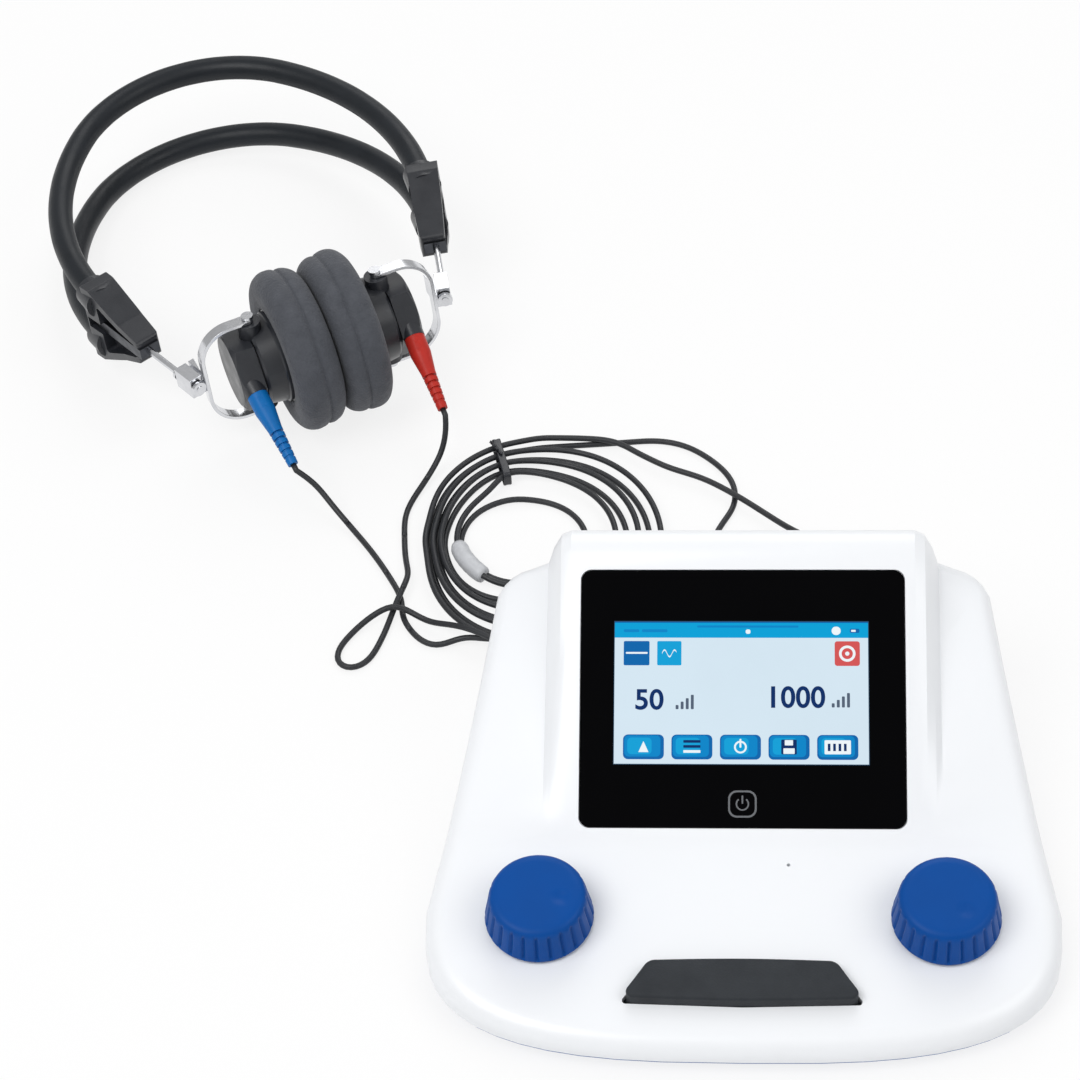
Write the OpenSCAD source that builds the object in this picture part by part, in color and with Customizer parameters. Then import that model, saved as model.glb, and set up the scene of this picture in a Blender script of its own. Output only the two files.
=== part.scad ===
// Desktop screening audiometer with its headset, leads and rear sockets.
// Millimetres, +Z up. The front of the base unit faces -Y.
// The origin is on the table, under the middle of the whole outfit.

/* [Base unit] */
// Greatest width of the base unit
base_w = 233; // [215:1:260]
// Depth of the base unit, front to rear
base_d = 196; // [185:1:215]
// Height of the top surface at the front edge
front_h = 13.5; // [12.5:0.5:18]
// Slope of the front deck that carries the knobs
deck_slope = 8; // [6:0.5:10]
// Slope of the shoulders beside the display
shoulder_slope = 23.4; // [20:0.2:26]
// Slope of the display glass
glass_slope = 33; // [30:0.5:36]
// Distance from the front edge to the foot of the display block
deck_d = 91.5; // [86:0.5:96]
// How much each side draws in per millimetre towards the rear
side_taper = 0.172; // [0.12:0.002:0.2]
// Radius on the top edge of the upper case
edge_r = 8; // [6:0.5:9]
// Wall thickness of the upper case
case_wall = 2.5; // [2:0.1:3]
// Height of the seam between the upper and lower case
seam_z = 6; // [5:0.5:7]
// Width of the raised display block
block_w = 130; // [127:1:136]
// Width of each sloping flank of the display block
flank_w = 9.5; // [7:0.5:10]

/* [Display] */
// Width of the cover glass
glass_w = 121.5; // [112:0.5:125]
// Height of the cover glass along its slope
glass_h = 98; // [90:0.5:99]
// Thickness of the cover glass
glass_t = 1.5; // [1:0.1:1.6]
// Corner radius of the cover glass
glass_r = 4; // [2:0.5:6]
// Width of the display module behind the glass
module_w = 105.5; // [98:0.5:106]
// Height of the display module
module_h = 67; // [60:0.5:70]
// Thickness of the display module
module_t = 3.2; // [2.5:0.1:3.5]

/* [Controls] */
// Diameter of each knob at its base
knob_d = 40; // [34:0.5:44]
// Height of each knob
knob_h = 16; // [13:0.5:19]
// Distance between the two knob axes
knob_pitch = 148; // [140:1:154]
// Distance of the knob axes from the front edge
knob_y = 54; // [48:0.5:60]
// Number of grip grooves round each knob
knob_grooves = 24; // [16:1:30]
// Diameter of the encoder shafts
shaft_d = 6; // [5:0.1:6.4]
// Width of the bar key at its front edge
key_w = 88; // [80:1:94]
// Depth of the bar key, front to rear
key_d = 15; // [13:0.5:16]
// Height of the bar key above the deck
key_h = 5; // [4:0.25:5.5]
// Travel of the bar key
key_travel = 1.2; // [0.8:0.1:1.5]
// Gap round each moving or fitted piece
fit_gap = 0.3; // [0.2:0.05:0.4]
// Radial clearance of each shaft that turns or slides in a bore
run_gap = 0.05; // [0.02:0.01:0.08]

/* [Rear sockets] */
// Height of the socket axes above the table
socket_z = 18; // [17:0.5:22]
// Diameter of the bore of the free response-switch socket
jack_bore = 6.4; // [6.35:0.05:6.6]
// Distance between neighbouring phone sockets
socket_pitch = 22; // [18:1:24]

/* [Headband] */
// Diameter of the covered headband tubes
band_d = 11; // [9:0.5:12]
// Radius of the crown arc of each band
crown_r = 65; // [61:1:70]
// Radius of the side arcs of each band
side_r = 120; // [112:1:128]
// Half angle of the crown arc
crown_half = 48; // [44:1:52]
// End angle of the side arcs
band_end = 98.2; // [94:0.2:100]
// Distance between the two bands at the arm blocks
band_gap = 23.6; // [22:0.2:26]
// Tilt of each band away from the middle plane
band_splay = 3.8; // [2:0.2:5]

/* [Arms and forks] */
// Distance of each rod clamp from the middle of the headset
clamp_x = 58.8; // [56:0.2:62]
// Distance of the clamps below the band ends
clamp_drop = 71; // [69:0.5:74]
// Angle by which the rods lean inwards
rod_lean = 16; // [14:0.5:18]
// Diameter of the rods
rod_d = 3; // [2.6:0.1:3.2]
// Width of the fork strip
strip_w = 5.5; // [4.5:0.25:6.5]
// Shift of the arms and earphones along the seam between the cushions
ear_shift = 1; // [0:0.5:2]
// Thickness of the fork strip
strip_t = 1.5; // [1.2:0.1:1.8]
// Half height of the fork, to the outside of its arms
fork_half = 24.5; // [24.5:0.25:26]

/* [Earphones] */
// Diameter of the ear cushions
cushion_d = 72; // [68:0.5:72]
// Thickness of each ear cushion
cushion_t = 21; // [19:0.5:22]
// Distance of the earphone axis below the band ends
ear_drop = 75; // [73:0.5:77]
// Diameter of the earphone case
phone_d = 42; // [38:0.5:42]
// Distance of the tilt axis from the cushion face
pivot_s = 29; // [28:0.5:30]
// Diameter of the pivot screws
pivot_d = 3; // [2.5:0.1:3.4]
// Length of the moulded lead plugs
plug_l = 35; // [30:1:38]

/* [Leads] */
// Diameter of each lead
lead_d = 2.5; // [2.2:0.1:2.6]
// Number of turns of each lead in the coil
coil_turns = 3.54; // [2.54:1:3.54]
// Closest distance between neighbouring turns of one lead
turn_min = 3.2; // [3.1:0.1:3.4]

/* [Hidden] */
$fn = 48;

white = [0.93, 0.94, 0.95];
blue = [0.0, 0.29, 0.61];
charcoal = [0.22, 0.23, 0.25];
black = [0.08, 0.08, 0.09];
steel = [0.78, 0.79, 0.81];
board_green = [0.08, 0.35, 0.22];

// Where the two groups stand on the table
base_pos = [96.5, -273, 0];
head_pos = [-117.6, 153, 32.75];
head_turn = [-3.17, -3.5, 26];

// Feet and lower case
tray_z = 1.5;
tray_t = 2.5;
foot_seat = 0.5;
front_len = 60;
front_pow = 2.8;
side_pow = 3;
rear_r = 14;
rim_inset = 0.8;
glass_margin = 1.2;

// Derived sizes of the base unit
deck_z = front_h + deck_d * tan(deck_slope);
knob_x = knob_pitch / 2;
board_z = 9;
board_t = 1.6;
recess_d = glass_t + 0.1;

// ---------- plain helpers ----------

function smooth(t) = let(u = max(0, min(1, t))) u * u * (3 - 2 * u);
function unit(v) = v / norm(v);
function flat(rows) = [for (row = rows) for (item = row) item];

// Corner arc points of a closed outline, each corner rounded to radius r
function corner_points(a, b, c, r, steps) =
  let(
    u = unit(a - b),
    v = unit(c - b),
    half = acos(u * v) / 2,
    reach = r / tan(half),
    centre = b + unit(u + v) * r / sin(half),
    start = b + u * reach - centre,
    stop = b + v * reach - centre,
    side = unit(start + stop)
  )
  [for (i = [0:steps])
    let(t = i / steps, d = (1 - t) * start + t * stop, m = unit(d + side * 0.0001))
    centre + m * r];

function rounded(points, r, steps = 6) =
  let(n = len(points))
  flat([for (i = [0:n - 1])
    corner_points(points[(i + n - 1) % n], points[i], points[(i + 1) % n], r, steps)]);

function box_points(w, h) = [[-w / 2, -h / 2], [w / 2, -h / 2], [w / 2, h / 2], [-w / 2, h / 2]];

module plate(w, h, r, t) {
  linear_extrude(t) polygon(rounded(box_points(w, h), r));
}

// Sweeps a round section of n sides along points; keep is the up reference
module tube(points, d, n) {
  count = len(points);
  dirs = [for (i = [0:count - 1])
    unit(points[min(i + 1, count - 1)] - points[max(i - 1, 0)])];
  rings = [for (i = [0:count - 1])
    let(side = unit(cross(dirs[i], [0.01, 0.02, 1])), up = cross(side, dirs[i]))
    for (k = [0:n - 1])
      points[i] + (d / 2) * (cos(360 * k / n) * side + sin(360 * k / n) * up)];
  walls = [for (i = [0:count - 2]) for (k = [0:n - 1])
    let(a = i * n + k, b = i * n + (k + 1) % n)
    for (f = [[a, b, a + n], [b, b + n, a + n]]) f];
  first_cap = [for (k = [1:n - 2]) [0, k + 1, k]];
  last = (count - 1) * n;
  last_cap = [for (k = [1:n - 2]) [last, last + k, last + k + 1]];
  polyhedron(concat(rings), concat(walls, first_cap, last_cap), convexity = 8);
}

// ---------- the upper case as a moulded shell ----------

function half_w(y) =
  y < front_len
  ? base_w / 2 * pow(1 - pow((front_len - y) / front_len, front_pow), 1 / side_pow)
  : base_w / 2 - side_taper * (y - front_len);

front_steps = 13;
front_side = [for (i = [0:front_steps])
  let(y = front_len * (1 - pow(cos(90 * i / front_steps), 2 / front_pow)))
  [half_w(max(y, 0)), y]];
rear_line = base_d - rear_r;
mid_side = [for (y = [front_len + 13, front_len + 24, deck_d, deck_d + 8, deck_d + 20,
  deck_d + 36, deck_d + 52, deck_d + 68])
  [half_w(y), y]];
rear_side = [for (i = [0:5])
  [half_w(rear_line) - rear_r * (1 - cos(18 * i)), rear_line + rear_r * sin(18 * i)]];
side_line = concat(front_side, mid_side, rear_side);
side_n = len(side_line) - 1;

function side_normal(i) =
  i == 0 ? [0, -1]
  : i == side_n ? [0, 1]
  : let(t = unit(side_line[i + 1] - side_line[i - 1])) [t[1], -t[0]];

// Columns across the top, from the middle outwards, as seen from above
block_half = block_w / 2;
columns = [0, 0.45 * block_half, block_half - 2, block_half, block_half + 0.4 * flank_w,
  block_half + 0.75 * flank_w, block_half + flank_w];
column_n = len(columns) - 1;
cross_row = concat([for (i = [column_n:-1:0]) columns[i]], [for (i = [1:column_n]) -columns[i]]);
cross_n = len(cross_row);

function wedge_z(y) =
  y < deck_d ? front_h + y * tan(deck_slope) : deck_z + (y - deck_d) * tan(shoulder_slope);
function shoulder_fall(x, y) =
  let(out = max(0, abs(x) - block_half - flank_w), run = max(0, y - deck_d) / (base_d - deck_d))
  0.55 * out * run;
crest = base_d - 18;
function block_z(y) =
  deck_z + (y - deck_d) * tan(glass_slope) - 0.035 * pow(max(0, y - crest), 2);
function top_z(x, y) =
  let(
    side = wedge_z(y) - shoulder_fall(x, y),
    lift = 1 - pow(max(0, min(1, (abs(x) - block_half) / flank_w)), 2.3)
  )
  side + max(0, block_z(y) - side) * lift;

// Outer skin when inset is 0, inner skin when inset is the wall
module case_skin(inset, bottom) {
  r = edge_r - inset;
  arc_n = 5;
  drop = inset * 1.05;
  levels = concat([[inset, -1]], [for (k = [0:arc_n]) [inset + r * (1 - cos(90 * k / arc_n)),
    r * (1 - sin(90 * k / arc_n))]]);
  level_n = len(levels) - 1;
  ring_len = 2 * side_n + cross_n + 1;
  function place(i, d) = side_line[i] - side_normal(i) * d;
  function ring_xy(j, d) =
    j <= side_n ? place(j, d)
    : j <= side_n + cross_n ? [cross_row[j - side_n - 1], base_d - d]
    : let(p = place(2 * side_n + cross_n + 1 - j, d)) [-p[0], p[1]];
  function ring_z(j, k) =
    let(p = ring_xy(j, edge_r))
    k == 0 ? bottom : top_z(p[0], p[1]) - drop - levels[k][1];
  ring_points = [for (k = [0:level_n]) for (j = [0:ring_len - 1])
    let(p = ring_xy(j, levels[k][0])) [p[0], p[1], ring_z(j, k)]];
  inner_points = [for (i = [1:side_n - 1]) let(p = place(i, edge_r), f = min(1, (p[0] - 3) / 77))
    for (c = cross_row) [c * f, p[1], top_z(c * f, p[1]) - drop]];
  ring_count = (level_n + 1) * ring_len;
  last = level_n * ring_len;
  // Index of column c in cross row i, where 0 and cross_n + 1 are the ring's own points
  function at(i, c) =
    c == 0 ? last + i
    : c == cross_n + 1 ? last + ring_len - i
    : i == side_n ? last + side_n + c
    : ring_count + (i - 1) * cross_n + c - 1;
  walls = [for (k = [0:level_n - 1]) for (j = [0:ring_len - 1])
    let(a = k * ring_len + j, b = k * ring_len + (j + 1) % ring_len)
    for (f = [[a, a + ring_len, b], [b, a + ring_len, b + ring_len]]) f];
  tip = [for (c = [0:cross_n]) [last, at(1, c + 1), at(1, c)]];
  top = [for (i = [1:side_n - 1]) for (c = [0:cross_n])
    for (f = [[at(i, c), at(i, c + 1), at(i + 1, c)],
      [at(i, c + 1), at(i + 1, c + 1), at(i + 1, c)]]) f];
  floor_face = [[for (j = [0:ring_len - 1]) j]];
  polyhedron(concat(ring_points, inner_points), concat(walls, tip, top, floor_face), convexity = 6);
}

function outline(d, n = side_n) =
  concat(
    [for (i = [0:n]) side_line[i] - side_normal(i) * d],
    [for (i = [n:-1:1]) let(p = side_line[i] - side_normal(i) * d) [-p[0], p[1]]]);

module in_base() {
  translate(base_pos) children();
}

// Frame on the glass slope: x across, y up the slope, z out of the glass
module on_glass() {
  translate([0, deck_d, deck_z]) rotate([glass_slope, 0, 0]) children();
}

// Frame on the front deck at a distance from the front edge
module on_deck(x, y) {
  translate([x, y, front_h + y * tan(deck_slope)]) rotate([deck_slope, 0, 0]) children();
}

key_y = 26.2;
key_back = 0.75;
function key_points(grow) =
  rounded([[-key_w / 2 - grow, -key_d / 2 - grow], [0, -key_d / 2 - 1.3 - grow],
    [key_w / 2 + grow, -key_d / 2 - grow], [key_back * key_w / 2 + grow, key_d / 2 + grow],
    [0, key_d / 2 + 1.1 + grow], [-key_back * key_w / 2 - grow, key_d / 2 + grow]], 1.2 + grow / 2);

boss_xy = [[-92, 44], [92, 44], [-86, 112], [86, 112], [-78, 172], [78, 172]];
boss_d = 7;
screw_d = 3;
screw_head = 5.5;
mic_x = 17;
mic_y = 77;
bush_d = 7;
rear_ports = [10, 10 + socket_pitch];
response_x = -14;
usb_x = -38;
power_x = -60;

module rear_cylinder(x, d, l) {
  translate([x, base_d + 1, socket_z]) rotate([90, 0, 0]) cylinder(d = d, h = l);
}

module upper_case() {
  color(white) in_base() difference() {
    union() {
      difference() {
        case_skin(0, seam_z);
        case_skin(case_wall, seam_z - 0.01);
      }
      for (p = boss_xy)
        translate([p[0], p[1], seam_z + 1])
          cylinder(d = boss_d, h = wedge_z(p[1]) - shoulder_fall(p[0], p[1]) - seam_z - 3.3);
    }
    on_glass() translate([0, glass_h / 2 + glass_margin, -recess_d])
      plate(glass_w + 2 * fit_gap, glass_h + 2 * fit_gap, glass_r, recess_d + 3);
    on_glass() translate([0, glass_h / 2 + glass_margin, -10])
      plate(module_w - 4, module_h - 4, 2, 12);
    on_deck(0, key_y) translate([0, 0, -8]) linear_extrude(12) polygon(key_points(fit_gap));
    for (s = [-1, 1])
      on_deck(s * knob_x, knob_y) translate([0, 0, -6]) cylinder(d = bush_d + 2 * fit_gap, h = 12);
    on_deck(mic_x, mic_y) translate([0, 0, -6]) cylinder(d = 1.4, h = 9);
    for (p = boss_xy) translate([p[0], p[1], seam_z]) cylinder(d = screw_d, h = 9);
    for (x = rear_ports) rear_cylinder(x, 9 + 2 * fit_gap, case_wall + 3);
    rear_cylinder(response_x, 9 + 2 * fit_gap, case_wall + 3);
    translate([usb_x, base_d, socket_z - 1]) cube([12.6, 8, 11.4], center = true);
    rear_cylinder(power_x, 8 + 2 * fit_gap, case_wall + 3);
  }
}

// Outside of the tray: a thin upright band over a bevel that runs in under it
module tray_skin() {
  rows = [[tray_z, rim_inset + 3], [seam_z - 1.4, rim_inset], [seam_z, rim_inset]];
  loop = [for (row = rows) for (p = outline(row[1])) [p[0], p[1], row[0]]];
  n = len(outline(0));
  walls = [for (k = [0:1]) for (j = [0:n - 1])
    let(a = k * n + j, b = k * n + (j + 1) % n)
    for (f = [[a, a + n, b], [b, a + n, b + n]]) f];
  ends = [[for (j = [0:n - 1]) j], [for (j = [n - 1:-1:0]) 2 * n + j]];
  polyhedron(loop, concat(walls, ends), convexity = 4);
}

module lower_case() {
  color(blue) in_base() difference() {
    union() {
      difference() {
        tray_skin();
        translate([0, 0, tray_z + tray_t]) linear_extrude(seam_z) polygon(outline(rim_inset + 4.2));
      }
      difference() {
        translate([0, 0, tray_z + tray_t])
          linear_extrude(seam_z + 1.2 - tray_z - tray_t) polygon(outline(case_wall + fit_gap));
        translate([0, 0, tray_z]) linear_extrude(seam_z + 9) polygon(outline(case_wall + 1.8));
      }
      for (p = boss_xy)
        translate([p[0], p[1], tray_z]) cylinder(d = boss_d, h = seam_z + 1 - tray_z);
      for (p = board_posts)
        translate([p[0], p[1], tray_z]) cylinder(d = 6, h = board_z - tray_z);
    }
    for (p = boss_xy) {
      translate([p[0], p[1], 0]) cylinder(d = screw_d + 0.4, h = seam_z + 4);
      translate([p[0], p[1], 0]) cylinder(d = screw_head + 0.5, h = tray_z + 2.5);
    }
    for (p = board_posts) translate([p[0], p[1], tray_z + 3]) cylinder(d = 2.2, h = 9);
    for (p = foot_xy)
      translate([p[0], p[1], 0]) cylinder(d = foot_d + fit_gap, h = tray_z + foot_seat);
  }
}

foot_d = 12;
foot_xy = [[-88, 26], [88, 26], [-72, 158], [72, 158]];
board_w = 148;
board_y0 = 17;
board_y1 = 178;
board_posts = [[-62, 24], [62, 24], [-68, 100], [68, 100], [-68, 172], [68, 172]];

module rubber_feet() {
  color(charcoal) in_base() for (p = foot_xy)
    translate([p[0], p[1], 0]) cylinder(d = foot_d, h = tray_z + foot_seat);
}

module case_screws() {
  color(steel) in_base() for (p = boss_xy) translate([p[0], p[1], tray_z + 0.2]) {
    cylinder(d = screw_head, h = 2.3);
    cylinder(d = screw_d - 0.1, h = 11.5);
  }
}

module cover_glass() {
  color(black) in_base() on_glass() translate([0, glass_h / 2 + glass_margin, -glass_t])
    plate(glass_w, glass_h, glass_r, glass_t);
}

display_up = 2.5;
module display_module() {
  color(steel) in_base() on_glass()
    translate([0, glass_h / 2 + glass_margin + display_up, -case_wall * 1.05 - module_t - fit_gap])
      translate([-module_w / 2, -module_h / 2, 0]) cube([module_w, module_h, module_t]);
}

bracket_t = 2;
module display_bracket() {
  color(charcoal) in_base() on_glass()
    translate([0, glass_h / 2 + glass_margin + display_up,
      -case_wall * 1.05 - module_t - fit_gap - bracket_t])
      difference() {
        plate(module_w + 8, module_h + 8, 3, bracket_t);
        translate([0, 0, -1]) plate(module_w - 20, module_h - 20, 3, bracket_t + 2);
      }
}

// The key passes through its slot and is held in by a flange under the panel
key_foot = 3.9;
module bar_key() {
  color(charcoal) in_base() on_deck(0, key_y) {
    translate([0, 0, -key_foot]) linear_extrude(key_h + key_foot) polygon(key_points(0));
    translate([0, 0, -key_foot]) linear_extrude(1) polygon(key_points(1.5));
  }
}

switch_x = 26;
// The key meets the two plungers at the end of its travel
plunger_h = front_h + key_y * tan(deck_slope) - key_foot - board_z - board_t - key_travel - 0.4;
module key_switches() {
  color(charcoal) in_base() for (s = [-1, 1])
    translate([s * switch_x, key_y, board_z + board_t]) {
      translate([-3, -3, 0]) cube([6, 6, 0.8]);
      cylinder(d = 3.2, h = plunger_h);
    }
}

groove_w = 2.6;
module knob_shape() {
  bore = shaft_d / 2 + fit_gap / 4;
  difference() {
    rotate_extrude() polygon([[bore, 0], [knob_d / 2 - 0.6, 0], [knob_d / 2, 0.6],
      [knob_d / 2, 3.2], [knob_d / 2 - 1.2, 3.8], [knob_d / 2 - 2.9, knob_h - 2.2],
      [knob_d / 2 - 3.6, knob_h - 0.7], [knob_d / 2 - 5, knob_h], [10, knob_h - 0.5],
      [0, knob_h - 0.7], [0, knob_h - 4], [bore, knob_h - 4]]);
    for (i = [0:knob_grooves - 1]) rotate([0, 0, 360 * i / knob_grooves])
      translate([knob_d / 2 - 0.6, 0, 4.2]) rotate([0, -9.6, 0])
        cylinder(d = groove_w, h = knob_h);
    translate([0, 0, -0.01]) cylinder(d = bush_d + 5.2, h = 5.4);
    translate([knob_d / 2 - 12.5, 0, knob_h + 13.3]) sphere(r = 15);
  }
}

knob_lift = 0.8;
module knob_at(s) {
  in_base() on_deck(s * knob_x, knob_y) translate([0, 0, knob_lift]) children();
}
module left_knob() {
  color(blue) knob_at(-1) rotate([0, 0, 20]) knob_shape();
}
module right_knob() {
  color(blue) knob_at(1) rotate([0, 0, 20]) knob_shape();
}

encoder_w = 12.5;
encoder_t = 5.5;
module encoder_shape() {
  difference() {
    union() {
      translate([-encoder_w / 2, -encoder_w / 2, -case_wall * 1.05 - encoder_t])
        cube([encoder_w, encoder_w, encoder_t]);
      translate([0, 0, -case_wall * 1.05 - 0.01]) cylinder(d = bush_d, h = case_wall + 3.4);
    }
    translate([0, 0, -case_wall * 1.05 - encoder_t + 1]) cylinder(d = shaft_d + 2 * run_gap, h = 20);
  }
}
module left_encoder() {
  color(steel) in_base() on_deck(-knob_x, knob_y) encoder_shape();
}
module right_encoder() {
  color(steel) in_base() on_deck(knob_x, knob_y) encoder_shape();
}

module shaft_shape() {
  translate([0, 0, -case_wall * 1.05 - encoder_t + 1.1])
    cylinder(d = shaft_d, h = knob_lift + knob_h - 4.2 + case_wall * 1.05 + encoder_t - 1.1);
}
module left_shaft() {
  color(steel) in_base() on_deck(-knob_x, knob_y) shaft_shape();
}
module right_shaft() {
  color(steel) in_base() on_deck(knob_x, knob_y) shaft_shape();
}

nut_d = 11;
module encoder_nuts() {
  color(steel) in_base() for (s = [-1, 1]) on_deck(s * knob_x, knob_y) difference() {
    translate([0, 0, 0.1]) cylinder(d = nut_d, h = 2.2, $fn = 6);
    cylinder(d = bush_d + 2 * run_gap, h = 5);
  }
}

module main_board() {
  color(board_green) in_base() difference() {
    translate([-board_w / 2, board_y0, board_z]) cube([board_w, board_y1 - board_y0, board_t]);
    for (p = board_posts) translate([p[0], p[1], board_z - 1]) cylinder(d = 3.2, h = 5);
  }
}

module board_screws() {
  color(steel) in_base() for (p = board_posts) translate([p[0], p[1], tray_z + 3.2]) {
    cylinder(d = 2, h = board_z + board_t - tray_z - 3.2);
    translate([0, 0, board_z + board_t - tray_z - 3.2]) cylinder(d = 4.5, h = 1.6);
  }
}

module microphone() {
  color(steel) in_base() on_deck(mic_x, mic_y)
    translate([0, 0, -case_wall * 1.05 - 3]) cylinder(d = 6, h = 2.7);
}

socket_l = 22;
module socket_body(x, bore, bush) {
  translate([x, base_d, socket_z]) rotate([90, 0, 0]) difference() {
    union() {
      translate([0, 0, -1]) cylinder(d = bush, h = case_wall + 1.2);
      translate([0, 0, case_wall + 0.15]) linear_extrude(socket_l - case_wall)
        polygon(rounded(box_points(13, 13), 1));
    }
    translate([0, 0, -2]) cylinder(d = bore, h = 18);
  }
}
module phone_sockets() {
  color(charcoal) in_base() for (x = rear_ports) socket_body(x, jack_bore, 9);
}
module response_socket() {
  color(charcoal) in_base() socket_body(response_x, jack_bore, 9);
}
module usb_socket() {
  color(steel) in_base() translate([usb_x, base_d - 8, socket_z - 1]) difference() {
    cube([12, 16, 10.8], center = true);
    translate([0, 3, 0]) cube([8.4, 16, 7.6], center = true);
  }
}
module power_inlet() {
  color(charcoal) in_base() difference() {
    socket_body(power_x, 5.6, 8);
    translate([power_x, base_d - 17, socket_z]) rotate([90, 0, 0]) cylinder(d = 1, h = 1);
  }
}

// ---------- headset ----------

module in_head() {
  translate(head_pos) rotate(head_turn) children();
}
module in_arms() {
  in_head() translate([ear_shift, 0, 0]) children();
}
module band_level(s) {
  translate([0, 0, s * band_gap / 2]) rotate([s * band_splay, 0, 0]) children();
}

split_x = crown_r * sin(crown_half);
side_cx = split_x - side_r * sin(crown_half);
end_x = side_cx + side_r * sin(band_end);
side_cy = -side_r * cos(band_end);
crown_cy = side_cy + (side_r - crown_r) * cos(crown_half);
socket_in = 13.5;

function arc(cx, cy, r, from, to, steps) =
  [for (i = [0:steps])
    let(a = from + (to - from) * i / steps)
    [cx + r * sin(a), cy + r * cos(a), 0]];
half_band = concat(arc(0, crown_cy, crown_r, 0, crown_half, 9),
  arc(side_cx, side_cy, side_r, crown_half + 5, band_end, 9),
  [[end_x - socket_in * sin(band_end - 90), -socket_in * cos(band_end - 90), 0]]);
module band_shape() {
  n = len(half_band);
  tube(concat([for (i = [n - 1:-1:1]) flip(half_band[i])], half_band), band_d, 16);
}
module upper_band() {
  color(charcoal) in_head() band_level(1) band_shape();
}
module lower_band() {
  color(charcoal) in_head() band_level(-1) band_shape();
}

// Frame on the rod axis of the right arm; +Y runs along the rod to the block
module arm_frame(s) {
  mirror([s < 0 ? 1 : 0, 0, 0]) translate([clamp_x, -clamp_drop, 0]) rotate([0, 0, -rod_lean])
    children();
}

block_lo = 31;
block_hi = 69;
guide_lo = 30;
guide_hi = 67;
guide_half = 2.6;
guide_in = -5.2;
guide_out = 4.6;
lobe_top = 19;
collar_d = 15;
block_side = [[-lobe_top, block_hi], [-lobe_top, 62], [-9.5, 43], [-5.2, block_lo],
  [5.2, block_lo], [9.5, 43], [lobe_top, 62], [lobe_top, block_hi]];
block_plan = [[-7, block_hi], [-7, 45], [-6.4, block_lo], [4.5, block_lo], [6, 50], [7, block_hi]];
pocket_side = [[-13, 58], [-6.4, 44], [-3.4, block_lo + 3], [3.4, block_lo + 3], [6.4, 44],
  [13, 58]];
block_screw_y = [45, 57];
screw_x = -3.4;

// Turns a (z, y) outline into a prism that runs across the arm
module across(points, r, from, to) {
  translate([from, 0, 0]) rotate([0, -90, 0]) mirror([0, 0, 1]) linear_extrude(to - from)
    polygon(rounded(points, r));
}

module band_bore(side, d, from, to) {
  for (s = [-1, 1]) band_level(s) translate([end_x - side * ear_shift, 0, 0]) rotate([0, 0, 90 - band_end])
    rotate([90, 0, 0]) translate([0, 0, from]) cylinder(d = d, h = to - from);
}

module block_shape(side) {
  difference() {
    union() {
      arm_frame(1) intersection() {
        across(block_side, 2.2, -9, 9);
        translate([0, 0, -30]) linear_extrude(60) polygon(rounded(block_plan, 1.6));
      }
      band_bore(side, collar_d, 3, socket_in);
    }
    band_bore(side, band_d + 2 * run_gap, -3, socket_in + 0.1);
    arm_frame(1) across(pocket_side, 1.4, 1.6, 12);
    arm_frame(1) translate([guide_in - 0.1, guide_lo, -guide_half - 0.05])
      cube([20, guide_hi + 0.1 - guide_lo, 2 * guide_half + 0.1]);
    arm_frame(1) rotate([-90, 0, 0]) cylinder(d = rod_d + 1, h = 110);
    for (y = block_screw_y) arm_frame(1) translate([screw_x, y, 0]) {
      translate([0, 0, -20]) cylinder(d = 2.1, h = 25.5);
      translate([0, 0, -28]) cylinder(d = 4.4, h = 19.6);
    }
  }
}
module left_block() {
  color(black) in_arms() mirror([1, 0, 0]) block_shape(-1);
}
module right_block() {
  color(black) in_arms() block_shape(1);
}

module guide_shape() {
  arm_frame(1) difference() {
    translate([guide_in, guide_lo, -guide_half])
      cube([guide_out - guide_in, guide_hi - guide_lo, 2 * guide_half]);
    translate([0, guide_lo - 1, 0]) rotate([-90, 0, 0])
      cylinder(d = rod_d + 2 * run_gap, h = 60);
    for (y = block_screw_y) translate([screw_x, y, -10]) cylinder(d = 2.1, h = 20);
  }
}
module left_guide() {
  color(steel) in_arms() mirror([1, 0, 0]) guide_shape();
}
module right_guide() {
  color(steel) in_arms() guide_shape();
}

module block_screws() {
  color(steel) in_arms() for (s = [-1, 1]) for (y = block_screw_y) arm_frame(s)
    translate([screw_x, y, -10.2]) {
      cylinder(d = 2, h = 15.4);
      cylinder(d = 4, h = 1.75);
    }
}

clamp_l = 12;
clamp_w = 9.5;
clamp_out = 2.7;
stop_t = 1.6;
module rod_shape() {
  arm_frame(1) rotate([-90, 0, 0]) {
    translate([0, 0, -clamp_l / 2 - 2.5]) cylinder(d = rod_d, h = block_hi + 5 + clamp_l / 2 + 2.5);
    translate([0, 0, -clamp_l / 2 - 2.2]) cylinder(d = rod_d + 3.4, h = stop_t);
    translate([0, 0, clamp_l / 2 + 0.5]) cylinder(d = rod_d + 2.6, h = stop_t);
  }
}
module left_rod() {
  color(steel) in_arms() mirror([1, 0, 0]) rod_shape();
}
module right_rod() {
  color(steel) in_arms() rod_shape();
}

fork_back = clamp_x - 5.6;
module clamp_shape() {
  difference() {
    arm_frame(1) translate([-10, -clamp_l / 2, -clamp_w / 2]) cube([10 + clamp_out, clamp_l, clamp_w]);
    translate([fork_back - 20, -clamp_drop - 30, -20]) cube([20, 60, 40]);
    arm_frame(1) rotate([90, 0, 0]) cylinder(d = rod_d + 2 * run_gap, h = 40, center = true);
    arm_frame(1) translate([-4.6, -20, 1.9]) cube([1.4, 40, 10]);
  }
}
module left_clamp() {
  color(steel) in_arms() mirror([1, 0, 0]) clamp_shape();
}
module right_clamp() {
  color(steel) in_arms() clamp_shape();
}

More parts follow.
